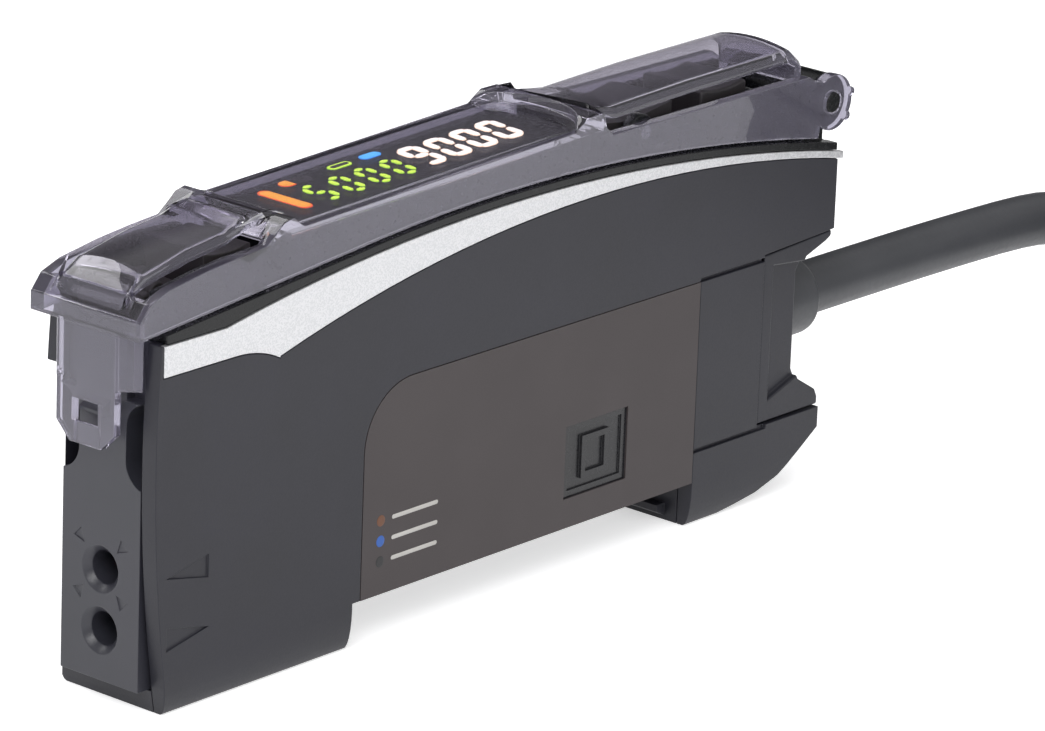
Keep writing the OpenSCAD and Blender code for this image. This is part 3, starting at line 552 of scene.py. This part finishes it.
@dataclass
class Shot:
    """Camera, lamps, floor and background, fitted to the photograph's view.

    Angles are in degrees. The sensor is in millimetres, and clip and floor_half are in metres.
    """

    azimuth: float = -49.634
    elevation: float = 18.241
    roll: float = 2.160
    focal_px: float = 6502.08
    frame_px: int = 1045
    sensor: float = 36.0
    clip: tuple[float, float] = (0.01, 20.0)
    distance: float = 448.439
    target: tuple[float, float, float] = (6.614, 0.0, 13.806)
    sky: float = 0.5
    board: tuple[float, float, float] = (0.72, 0.62, 0.36)
    board_edge: tuple[float, float] = (0.92, 0.97)
    board_glow: float = 0.02
    floor_glow: float = 0.55
    floor_half: float = 6.0
    floor_drop: float = 0.02
    lamps: tuple[Lamp, ...] = (
        Lamp("key", (-420, -260, 420), (0, 0, 12), (380, 300), 2.0),
        Lamp("fill", (120, -520, 240), (0, 0, 12), (420, 260), 0.7),
        Lamp("rim", (-60, 420, 420), (0, 0, 20), (420, 200), 1.0))

    def axes(self) -> tuple[Vector, Vector, Vector]:
        """Camera's own right, up and back directions."""
        a, e, r = (math.radians(v) for v in (self.azimuth, self.elevation, self.roll))
        back = Vector((math.sin(a) * math.cos(e), -math.cos(a) * math.cos(e), math.sin(e)))
        right = Vector((math.cos(a), math.sin(a), 0))
        up = back.cross(right)
        return right * math.cos(r) + up * math.sin(r), up * math.cos(r) - right * math.sin(r), back

    def camera(self) -> None:
        """Makes the scene's camera."""
        data = bpy.data.cameras.new("camera")
        data.sensor_width, data.lens = self.sensor, self.focal_px * self.sensor / self.frame_px
        data.clip_start, data.clip_end = self.clip
        camera = bpy.data.objects.new("camera", data)
        axes = self.axes()
        place = (Vector(self.target) + axes[2] * self.distance) * MM
        camera.matrix_world = Matrix.Translation(place) @ Matrix(axes).transposed().to_4x4()
        bpy.context.scene.collection.objects.link(camera)
        bpy.context.scene.camera = camera

    def seen(self, tree: bpy.types.NodeTree, *kinds: str) -> bpy.types.NodeSocket:
        """One where a ray is of one of some kinds, such as Is Camera Ray."""
        path = add(tree, "LightPath").outputs
        share = path[kinds[0]]
        for kind in kinds[1:]:
            share = add(tree, "Math", {0: share, 1: path[kind]}, operation="MAXIMUM").outputs[0]
        return share

    def floor(self) -> None:
        """White floor that keeps the object's shadow: part of its light is its own, part falls on it."""
        mesh = bpy.data.meshes.new("floor")
        side = np.array([[-1, -1], [1, -1], [1, 1], [-1, 1]]) * self.floor_half
        low = np.full(len(side), -self.floor_drop * MM)
        mesh.from_pydata(np.column_stack([side, low]).tolist(), [], [(0, 1, 2, 3)])
        floor = bpy.data.objects.new("floor", mesh)
        bpy.context.scene.collection.objects.link(floor)
        finish = Finish("studio_floor", "#ffffff", "#f4f4f5")
        material, tree = finish.start()
        lit = add(tree, "BsdfDiffuse", {"Color": rgba(finish.shade)})
        share = self.seen(tree, "Is Camera Ray", "Is Transmission Ray", "Is Glossy Ray")
        own = add(tree, "Math", {0: share, 1: self.floor_glow}, operation="MULTIPLY").outputs[0]
        glow = add(tree, "Emission", {"Color": rgba(finish.colour), "Strength": own})
        both = add(tree, "AddShader", {0: lit.outputs[0], 1: glow.outputs[0]})
        finish.end(tree, both.outputs[0])
        mesh.materials.append(material)
        floor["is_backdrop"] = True

    def world(self) -> None:
        """Even pale surroundings with a dark board behind the object, which its upper faces mirror.

        The board is a soft-edged disc of the sky: it is where a direction's dot product with board passes
        from the first value of board_edge to the second.
        """
        world = bpy.data.worlds.new("studio")
        bpy.context.scene.world = world
        world.use_nodes = True
        tree = world.node_tree
        tree.nodes.clear()
        way = add(tree, "TexCoord").outputs["Generated"]
        board = Vector(self.board).normalized()
        near = add(tree, "VectorMath", {0: way, 1: board}, operation="DOT_PRODUCT").outputs["Value"]
        start, end = self.board_edge
        level = add(tree, "MapRange", {0: near, 1: start, 2: end, 3: self.sky, 4: self.board_glow}).outputs[0]
        soft = add(tree, "Background", {"Color": rgba("#ffffff"), "Strength": level})
        white = add(tree, "Background", {"Color": rgba("#ffffff"), "Strength": 1.0})
        share = self.seen(tree, "Is Camera Ray", "Is Transmission Ray")
        mix = add(tree, "MixShader", {0: share, 1: soft.outputs[0], 2: white.outputs[0]})
        add(tree, "OutputWorld", {"Surface": mix.outputs[0]})

    def build(self) -> None:
        """Sets the stage."""
        bpy.context.scene.view_settings.view_transform = "Standard"
        self.camera()
        for lamp in self.lamps:
            lamp.build()
        self.floor()
        self.world()


@dataclass(frozen=True)
class Block:
    """Box outside a tie: its start from the strap's face, its foot's height, and its three sizes."""

    start: float
    foot: float
    depth: float
    width: float
    height: float

    def corners(self, outer: float) -> np.ndarray:
        """Corners (outwards, across, up): the foot's low corner plus each choice of the three sizes.

        Args:
            outer: distance of the strap's face from the coil's axis.

        Returns:
            Array of eight corners, in the order of BOX_FACES.
        """
        ends = np.stack(np.meshgrid([0, 1], [0, 1], [0, 1], indexing="ij"), -1).reshape(-1, 3)
        low = np.array([outer + self.start, -self.width / 2, self.foot])
        return low + ends * np.array([self.depth, self.width, self.height])


@dataclass(frozen=True)
class Core:
    """Core of the cable: its CAD node, its insulation's finish, and points from the cut jacket to its end."""

    node: str
    paint: Paint
    points: tuple[tuple[float, float, float], ...]


@dataclass
class Cable:
    """Two metres of jacketed cable: a lead, a coil of three columns of turns, and a bare end on top of it.

    The coil's columns are helices that rise, fall and rise again, a diameter apart, and the cable passes from
    one column to the next in a quarter of a turn. Three ties hold the coil, each with its lock and cut end.
    """

    diameter: float = 4.0
    centre: tuple[float, float] = (104.0, -30.0)
    radii: tuple[float, float, float] = (28.05, 24.0, 19.95)
    pitch: float = 4.05
    low: float = 2.925
    turns: int = 4
    steps: int = 36
    lead: tuple[tuple[float, float, float], ...] = (
        (36.5, 0, 12.7), (44, 0, 12.68), (54, 0, 12.6), (64, 0, 12.3), (69, -0.15, 11.6), (74, -0.4, 10.1),
        (79, -0.75, 7.9), (84, -1.15, 5.6), (89, -1.5, 3.8), (94, -1.8, 3.0), (99, -1.95, 2.93))
    tail: tuple[tuple[float, float, float], ...] = (
        (99.8, -49.6, 19.6), (95.3, -48.6, 20.3), (90.4, -46.2, 21.2), (86.1, -42.5, 22.0),
        (83.1, -37.6, 22.6), (81.8, -32.3, 22.9), (81.8, -27.7, 23.0), (82.8, -23.1, 23.0))
    cores: tuple[Core, ...] = (
        Core("brown_core", Paint.BROWN, (
            (82.08, -22.89, 23.42), (82.72, -19.96, 23.42), (83.6, -15.9, 23.7), (85.2, -11.3, 23.9),
            (87.7, -7.0, 23.6))),
        Core("blue_core", Paint.BLUE_CORE, (
            (82.81, -23.05, 22.15), (83.45, -20.12, 22.15), (84.9, -16.3, 23.0), (87.5, -12.6, 23.4),
            (90.7, -9.4, 23.2))),
        Core("black_core", Paint.BLACK_CORE, (
            (83.54, -23.21, 23.42), (84.18, -20.28, 23.42), (86.4, -17.0, 23.7), (89.8, -14.0, 23.9),
            (93.5, -11.8, 23.6))))
    # Points for each stretch of the lead, the tail and a core
    lead_steps: int = 3
    tail_steps: int = 4
    core_steps: int = 6
    # Number, from either end of the coil, of its point that gives the lead and the tail their direction
    guide: int = 4
    # Resolution of the round section
    round_steps: int = 5
    core_diameter: float = 1.3
    copper_share: float = 0.6
    bare_length: float = 4.0
    tie_angles: tuple[float, float, float] = (20.0, 140.0, 280.0)
    tie_size: tuple[float, float] = (3.0, 0.9)
    tie_edge: float = 0.2
    tie_steps: int = 72
    tie_lock: Block = Block(-0.3, 8.6, 2.4, 4.6, 4.6)
    tie_end: Block = Block(0.9, 13.0, 0.9, 2.6, 2.4)

    def coil(self) -> np.ndarray:
        """Points of the wound part.

        The angle falls steadily from a quarter turn. The radius is constant in a column and changes evenly in
        the quarter turn after it, and the height changes by a pitch for each turn of a column.

        Returns:
            Array of points in millimetres.
        """
        column = np.linspace(0, 1, self.turns * self.steps, endpoint=False)
        bridge = np.linspace(0, 1, self.steps // 4, endpoint=False)
        top = self.low + self.turns * self.pitch
        first, second, third = self.radii
        radius = np.concatenate([np.full_like(column, first), first + (second - first) * bridge,
                                 np.full_like(column, second), second + (third - second) * bridge,
                                 np.full_like(column, third), [third]])
        rise = self.low + (top - self.low) * column
        fall = top - (top - self.low) * column
        above, below = np.full_like(bridge, top), np.full_like(bridge, self.low)
        height = np.concatenate([rise, above, fall, below, rise, [top]])
        angle = math.pi / 2 - 2 * math.pi / self.steps * np.arange(len(radius))
        return self.turned(np.column_stack([radius, np.zeros_like(radius), height]), angle)

    def turned(self, points: np.ndarray, angle: np.ndarray | float) -> np.ndarray:
        """Points (outwards, across, up) from the coil's axis, turned about it by an angle in radians.

        Args:
            points: points in millimetres.
            angle: one angle for all of them, or one for each.

        Returns:
            Points (x, y, z).
        """
        out, across, up = points.T
        x = self.centre[0] + out * np.cos(angle) - across * np.sin(angle)
        return np.column_stack([x, self.centre[1] + out * np.sin(angle) + across * np.cos(angle), up])

    @staticmethod
    def smooth(points: Sequence[Sequence[float]], count: int) -> np.ndarray:
        """Points of a smooth line through a few points, by cubic pieces with even tangents.

        Args:
            points: points that it passes.
            count: points for each stretch.

        Returns:
            Array of points, the last one included.
        """
        p = np.asarray(points, float)
        t = np.gradient(p, axis=0)
        s = np.linspace(0, 1, count, endpoint=False)[None, :, None]
        a, b, u, v = p[:-1, None], p[1:, None], t[:-1, None], t[1:, None]
        ends = a * (2 * s**3 - 3 * s**2 + 1) + b * (3 * s**2 - 2 * s**3)
        line = ends + u * (s**3 - 2 * s**2 + s) + v * (s**3 - s**2)
        return np.vstack([line.reshape(-1, 3), p[-1:]])

    def route(self) -> np.ndarray:
        """Whole centreline, from the bushing to the cut end of the jacket."""
        coil = self.coil()
        lead = self.smooth([*self.lead, coil[0], coil[self.guide]], self.lead_steps)[:-self.lead_steps]
        tail = self.smooth([coil[-1 - self.guide], coil[-1], *self.tail], self.tail_steps)[self.tail_steps:]
        return np.vstack([lead[:-1], coil, tail[1:]])

    def curve(self, name: str, points: np.ndarray, diameter: float) -> bpy.types.Object:
        """Round curve along a line of points.

        Args:
            name: name of the object.
            points: line in millimetres.
            diameter: thickness in millimetres.

        Returns:
            The curve object.
        """
        data = bpy.data.curves.new(name, "CURVE")
        data.dimensions, data.bevel_depth, data.bevel_resolution = "3D", 1.0, self.round_steps
        data.use_fill_caps = True
        spline = data.splines.new("POLY")
        spline.points.add(len(points) - 1)
        spline.points.foreach_set("co", np.column_stack([points * MM, np.ones(len(points))]).ravel())
        spline.points.foreach_set("radius", np.full(len(points), diameter / 2 * MM))
        spline.use_smooth = True
        return new_object(name, data, CASE)

    def strip(self, core: Core) -> tuple[bpy.types.Object, bpy.types.Object]:
        """Insulated core and its bare end, which stand for its CAD node.

        Args:
            core: one of the cores.

        Returns:
            The insulation and the copper.
        """
        line = self.smooth(core.points, self.core_steps)
        bare = int(np.searchsorted(-np.linalg.norm(line - line[-1], axis=1), -self.bare_length))
        insulation = self.curve(core.node + "_insulation", line[:bare + 1], self.core_diameter)
        core.paint.dress(insulation)
        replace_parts(insulation, core.node)
        copper = self.curve(core.node + "_copper", line[bare:], self.core_diameter * self.copper_share)
        Paint.COPPER.dress(copper)
        LOG.info("%s with a bare end of %.1f mm", core.node, self.bare_length)
        return insulation, copper

    def tie_rings(self, angle: float) -> np.ndarray:
        """Rings of a tie's strap, in the upright plane through the coil's axis at an angle.

        The turns are circles there, about centres (radius, height). In each direction u(t) the strap's inner
        line is the centre that reaches farthest that way, plus u(t) times the circle's radius, and its outer
        line is a thickness further out. Centres at the foot of the two inner columns let it reach the floor,
        so that it carries the coil.

        Args:
            angle: direction of the plane, in radians.

        Returns:
            Array of rings and corners (outwards, across, up).
        """
        x, y, z = (self.coil() - [*self.centre, 0])[::-1].T
        turn = (np.unwrap(np.arctan2(y, x)) - angle) / (2 * math.pi)
        passes = np.arange(math.ceil(turn[0]), math.floor(turn[-1]) + 1)
        turns = np.column_stack([np.interp(passes, turn, np.hypot(x, y)), np.interp(passes, turn, z)])
        centres = np.vstack([turns, [(radius, self.low) for radius in self.radii[1:]]])
        t = np.linspace(0, 2 * math.pi, self.tie_steps, endpoint=False)
        ways = np.column_stack([np.cos(t), np.sin(t)])
        farthest = centres[np.argmax(ways @ centres.T, axis=1)]
        width, thickness = self.tie_size
        depth = self.low - thickness * np.array([1, 0, 0, 1])
        across = np.tile(np.array([-1, -1, 1, 1]) * width / 2, (self.tie_steps, 1))
        line = farthest[:, None] + ways[:, None] * depth[None, :, None]
        return np.stack([line[..., 0], across, line[..., 1]], 2)

    def ties(self) -> bpy.types.Object:
        """Straps with their locks, which stand for the CAD node of the ties.

        Returns:
            The piece, with a bevel on its edges.
        """
        points, faces, count = [], [], 0
        outer = self.radii[0] + self.low
        for angle in np.radians(self.tie_angles):
            strap = self.tie_rings(angle)
            steps, around = strap.shape[:2]
            shapes = [(strap.reshape(-1, 3), grid_faces(steps + 1, around, True) % (steps * around))]
            shapes += [(block.corners(outer), BOX_FACES) for block in (self.tie_lock, self.tie_end)]
            for flat, quads in shapes:
                points.append(self.turned(flat, angle))
                faces += (quads + count).tolist()
                count += len(flat)
        mesh = bpy.data.meshes.new("coil_tie_straps")
        mesh.from_pydata((np.vstack(points) * MM).tolist(), [], faces)
        outward(mesh)
        piece = new_object("coil_tie_straps", mesh, CASE)
        ease(piece, self.tie_edge)
        Paint.TIE.dress(piece)
        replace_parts(piece, "coil_ties")
        LOG.info("%d ties round the coil", len(self.tie_angles))
        return piece

    def build(self) -> None:
        """Makes the cable, its ties and its three cores."""
        line = self.route()
        jacket = self.curve("cable_jacket", line, self.diameter)
        Paint.PVC.dress(jacket)
        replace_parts(jacket, "cable_run", "cable_coil", "cable_tail")
        ends = [piece for core in self.cores for piece in self.strip(core)]
        self.ties()


def plate_rings(outlines: Sequence[np.ndarray], height: float) -> np.ndarray:
    """Four rings of each thin plate: its foot, its edge, and two smaller rings that dome it slightly.

    A ring's corners are middle + share * (edge - middle), all at one level.

    Args:
        outlines: corners (u, v) of each plate, all of the same number.
        height: height of the plate's edge, in millimetres.

    Returns:
        Array of plates, rings and corners (u, v, height).
    """
    edge = np.stack(outlines)
    middle = edge.mean(1, keepdims=True)
    levels = ((1.0, PLATE_FOOT), *((share, height + rise) for share, rise in PLATE_DOME))
    flat = np.ones((*edge.shape[:2], 1))
    rings = [(middle + (edge - middle) * share, flat * level) for share, level in levels]
    return np.stack([np.concatenate(ring, 2) for ring in rings], 1)


def plate_piece(name: str, points: np.ndarray, around: int, paint: Paint) -> bpy.types.Object:
    """Piece of thin plates whose rings of points follow each other.

    Args:
        name: name of the piece.
        points: corners of the rings, PLATE_RINGS to a plate, in millimetres.
        around: corners in a ring.
        paint: finish.

    Returns:
        The piece, with the attribute rim, which is 0 at a plate's edge and 1 in its middle.
    """
    size = PLATE_RINGS * around
    count = len(points) // size
    first = (np.arange(count) * size)[:, None]
    walls = (grid_faces(PLATE_RINGS, around, True).reshape(1, -1) + first).reshape(-1, 4)
    top = first + size - around + np.arange(around)[None]
    foot = first + np.arange(around)[None, ::-1]
    mesh = bpy.data.meshes.new(name)
    mesh.from_pydata((points * MM).tolist(), [], walls.tolist() + top.tolist() + foot.tolist())
    rim = mesh.attributes.new("rim", "FLOAT", "POINT")
    rim.data.foreach_set("value", np.tile(np.repeat(RIM_SHARES, around), count))
    outward(mesh)
    piece = new_object(name, mesh, CASE)
    paint.dress(piece)
    LOG.info("%s: %d plates", name, count)
    return piece


@dataclass(frozen=True)
class Pill:
    """Round-ended plate: its middle and whole sizes, and -1 or 1 for its left or right half only."""

    x: float
    y: float
    width: float
    height: float
    cut: int = 0

    def outline(self) -> np.ndarray:
        """Points (x, y) round it: a circle of the lesser size, its halves drawn apart to the full size."""
        t = np.linspace(0, 2 * math.pi, PILL_POINTS, endpoint=False) + math.pi / PILL_POINTS
        r = min(self.width, self.height) / 2
        px = r * np.cos(t) + np.sign(np.cos(t)) * (self.width / 2 - r)
        py = r * np.sin(t) + np.sign(np.sin(t)) * (self.height / 2 - r)
        if self.cut:
            px = np.clip(px * self.cut, 0, None) * self.cut
        return np.column_stack([self.x + px, self.y + py])


class Segment(Enum):
    """Bars of a seven-segment digit, each from one corner of a 1 by 2 field to another."""

    TOP = ((0, 2), (1, 2))
    TOP_RIGHT = ((1, 2), (1, 1))
    LOW_RIGHT = ((1, 1), (1, 0))
    LOW = ((0, 0), (1, 0))
    LOW_LEFT = ((0, 1), (0, 0))
    TOP_LEFT = ((0, 2), (0, 1))
    MIDDLE = ((0, 1), (1, 1))


DIGIT_BARS: dict[str, str] = {
    "0": "TOP TOP_RIGHT LOW_RIGHT LOW LOW_LEFT TOP_LEFT", "5": "TOP TOP_LEFT MIDDLE LOW_RIGHT LOW",
    "9": "TOP TOP_LEFT TOP_RIGHT MIDDLE LOW_RIGHT LOW"}


@dataclass(frozen=True)
class Number:
    """Digits of lit bars, from the left edge x and the lower edge y of the first one.

    The gaps are the distances of a bar's end from a corner of its digit, and from the middle of its side. A
    bar's ends keep the share blunt of its width, and the digits lean by slant.
    """

    text: str
    x: float
    y: float
    size: tuple[float, float]
    pitch: float
    width: float
    gaps: tuple[float, float]
    blunt: float
    slant: float = 0.13

    def bar(self, segment: Segment) -> np.ndarray:
        """Outline of a bar, as eight corners (x, y) round it, from the lower left corner of its digit.

        Args:
            segment: place of the bar in the digit.

        Returns:
            Array of corners, leaning.
        """
        field = np.array([self.size[0] - self.width, (self.size[1] - self.width) / 2])
        start, end = np.array(segment.value, float) * field + self.width / 2
        along = (end - start) / np.linalg.norm(end - start)
        near, far = (self.gaps[int(corner[1] == 1)] for corner in segment.value)
        start, end = start + along * near, end - along * far
        step, side = along * self.width / 2, np.array([-along[1], along[0]]) * self.width / 2
        tip = side * self.blunt
        outline = np.array([start + tip, start + step + side, end - step + side, end + tip,
                            end - tip, end - step - side, start + step - side, start - tip])
        outline[:, 0] += outline[:, 1] * self.slant
        return outline

    def bars(self) -> list[np.ndarray]:
        """Outline of each lit bar."""
        return [self.bar(Segment[key]) + np.array([self.x + place * self.pitch, self.y])
                for place, digit in enumerate(self.text) for key in DIGIT_BARS[digit].split()]


@dataclass
class Display:
    """Lit digits and lamps on the screen, which slopes gently up towards the cable."""

    slope: float = 0.033
    height0: float = 30.674
    lift: float = 0.03
    core_rise: float = 0.01
    level: Number = Number("9000", -5.8, -1.9, (2.05, 3.95), 2.61, 0.62, (0.02, 0.14), 0.5)
    threshold: Number = Number("5000", -15.95, -2.05, (1.6, 3.3), 2.5, 0.44, (0.22, 0.22), 0.35)
    output: tuple[Pill, Pill] = (Pill(-17.65, 0.3, 1.0, 4.6), Pill(-14.8, 2.45, 2.0, 1.05, -1))
    mode: Pill = Pill(-14.75, 2.45, 3.4, 1.05, 1)
    reserve: Pill = Pill(-9.95, 2.55, 2.1, 0.8)
    reserve_core: Pill = Pill(-9.95, 2.55, 1.8, 0.5)
    state: Pill = Pill(-6.95, 2.55, 1.85, 0.85)

    def place(self, flat: np.ndarray) -> np.ndarray:
        """Points of the screen's plane, z = height0 + slope * x, just above its face.

        Args:
            flat: points (x, y) in millimetres, and a third value that is the height over the face.

        Returns:
            Points (x, y, z).
        """
        x, y, over = flat.T
        return np.column_stack([x, y, self.height0 + self.slope * x + over])

    def plates(self, name: str, outlines: Sequence[np.ndarray], paint: Paint,
               raised: float = 0.0) -> bpy.types.Object:
        """Thin lit plates on the screen.

        Args:
            name: name of the piece.
            outlines: corners of each plate, all of the same number.
            paint: finish of the plates.
            raised: height over the other plates, in millimetres.

        Returns:
            The piece.
        """
        rings = plate_rings(outlines, self.lift + raised)
        piece = plate_piece(name, self.place(rings.reshape(-1, 3)), rings.shape[2], paint)
        piece.visible_glossy = False
        return piece

    def build(self) -> None:
        """Makes the digits and lamps."""
        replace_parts(self.plates("level_lit", self.level.bars(), Paint.WHITE), "level_digits")
        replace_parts(self.plates("threshold_lit", self.threshold.bars(), Paint.GREEN), "threshold_digits")
        lamps = self.plates("output_lamps", [lamp.outline() for lamp in self.output], Paint.ORANGE)
        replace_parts(lamps, "status_lamps")
        self.plates("mode_lamp", [self.mode.outline()], Paint.UNLIT)
        self.plates("reserve_lamp", [self.reserve.outline()], Paint.GREEN)
        self.plates("reserve_core", [self.reserve_core.outline()], Paint.UNLIT, self.core_rise)
        self.plates("state_lamp", [self.state.outline()], Paint.BLUE)
        Paint.SCREEN.dress(FRAME["nodes"]["display_screen"])
        Paint.PANEL.dress(FRAME["nodes"]["display_module"])


@dataclass
class LabelPrint:
    """Plain print on the label: a key of the three cores, each a coloured dot and a pale line."""

    left: float = -13.2
    top: float = 8.6
    step: float = 1.45
    dot: float = 0.8
    line_offset: float = 3.4
    line: tuple[float, float] = (4.6, 0.3)
    face: float = -5.0
    lift: float = 0.006

    def marks(self, name: str, pills: Sequence[Pill], paint: Paint) -> bpy.types.Object:
        """Piece of printed marks (x, z), which stand slightly proud of the label."""
        rings = plate_rings([mark.outline() for mark in pills], self.lift)
        x, z, over = rings.reshape(-1, 3).T
        return plate_piece(name, np.column_stack([x, self.face - over, z]), rings.shape[2], paint)

    def build(self) -> None:
        """Prints the key."""
        dots = {"brown": Paint.BROWN, "blue": Paint.BLUE_CORE, "black": Paint.BLACK_CORE}
        rows = self.top - self.step * np.arange(len(dots))
        lines = [Pill(self.left + self.line_offset, z, *self.line) for z in rows]
        self.marks("print_lines", lines, Paint.INK)
        for z, (name, paint) in zip(rows, dots.items()):
            self.marks("print_dot_" + name, [Pill(self.left, z, self.dot, self.dot)], paint)


@dataclass
class Body:
    """Case, trims, label, fibre block, clamp and the panel frame, with eased edges."""

    edge: float = 0.22
    bushing_edge: float = 0.2
    panel_edge: float = 0.08
    fine_edge: float = 0.05
    window_edge: float = 0.03

    def build(self) -> None:
        """Dresses the fixed pieces."""
        for node, width, paint in (
                ("main_case", self.edge, Paint.CASE), ("side_cover", self.fine_edge, Paint.CASE),
                ("fibre_block", self.fine_edge, Paint.BLOCK), ("cable_clamp", self.edge, Paint.CASE),
                ("panel_frame", self.panel_edge, Paint.PANEL), ("near_trim", self.panel_edge, Paint.TRIM),
                ("far_trim", self.panel_edge, Paint.TRIM),
                ("near_signal_window", self.window_edge, Paint.WINDOW),
                ("far_signal_window", self.window_edge, Paint.WINDOW),
                ("cable_bushing", self.bushing_edge, Paint.PVC)):
            paint.dress(eased(node, CASE, width))
        for node, paint in (
                ("side_label", Paint.LABEL), ("main_board", Paint.BOARD), ("key_board", Paint.BOARD),
                ("board_parts", Paint.CHIP), ("key_switches", Paint.CHIP), ("emitter", Paint.RED_EPOXY),
                ("receiver", Paint.CHIP), ("rocker_pin", Paint.STEEL), ("fibre_clamp", Paint.STEEL)):
            paint.dress(FRAME["nodes"][node])
        LOG.info("body dressed")


@dataclass
class Controls:
    """Keys, lever and the smoke cover over them.

    The cover's faces are upright, and satin, where their normals rise or fall by less than upright.
    """

    key_edge: float = 0.22
    fine_edge: float = 0.07
    cover_edge: float = 0.07
    cover_steps: int = 3
    upright: float = 0.6
    roof_edge: Facet = Facet(0.45, (3.1, 3.6))
    bows: tuple[Bow, ...] = (Bow(-36.4, -24.5, 3.1, 28.6), Bow(8.9, 34.0, 3.6, 30.7))

    def build(self) -> None:
        """Dresses the moving pieces."""
        for node, body, width in (
                ("tune_key", "tune_key", self.fine_edge), ("mode_key", "mode_key", self.key_edge),
                ("updown_rocker", "rocker", self.fine_edge), ("lock_lever", "lever", self.key_edge)):
            Paint.KEY.dress(eased(node, body, width))
        cover = eased("protective_cover", COVER, self.cover_edge, self.cover_steps, self.roof_edge, self.bows)
        Paint.SMOKE.dress(cover)
        Paint.SMOKE_SIDE.join(cover)
        normals = np.empty(3 * len(cover.data.polygons))
        cover.data.polygons.foreach_get("normal", normals)
        satin = np.abs(normals[2::3]) < self.upright
        cover.data.polygons.foreach_set("material_index", satin.astype(np.int32))
        LOG.info("cover dressed")


def corners() -> list[list[float]]:
    """Lowest and highest corner of what is shown, as plain numbers."""
    bpy.context.view_layer.update()
    return [[float(c) for c in corner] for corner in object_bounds()]


def main() -> None:
    """Builds the scene in order."""
    logging.basicConfig(level=logging.INFO)
    FRAME.update(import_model())
    cad = corners()
    Shot().build()
    Cable().build()
    Body().build()
    LabelPrint().build()
    Display().build()
    Controls().build()
    {"cad": cad, "visual": corners()}


if __name__ == "__main__":
    main()
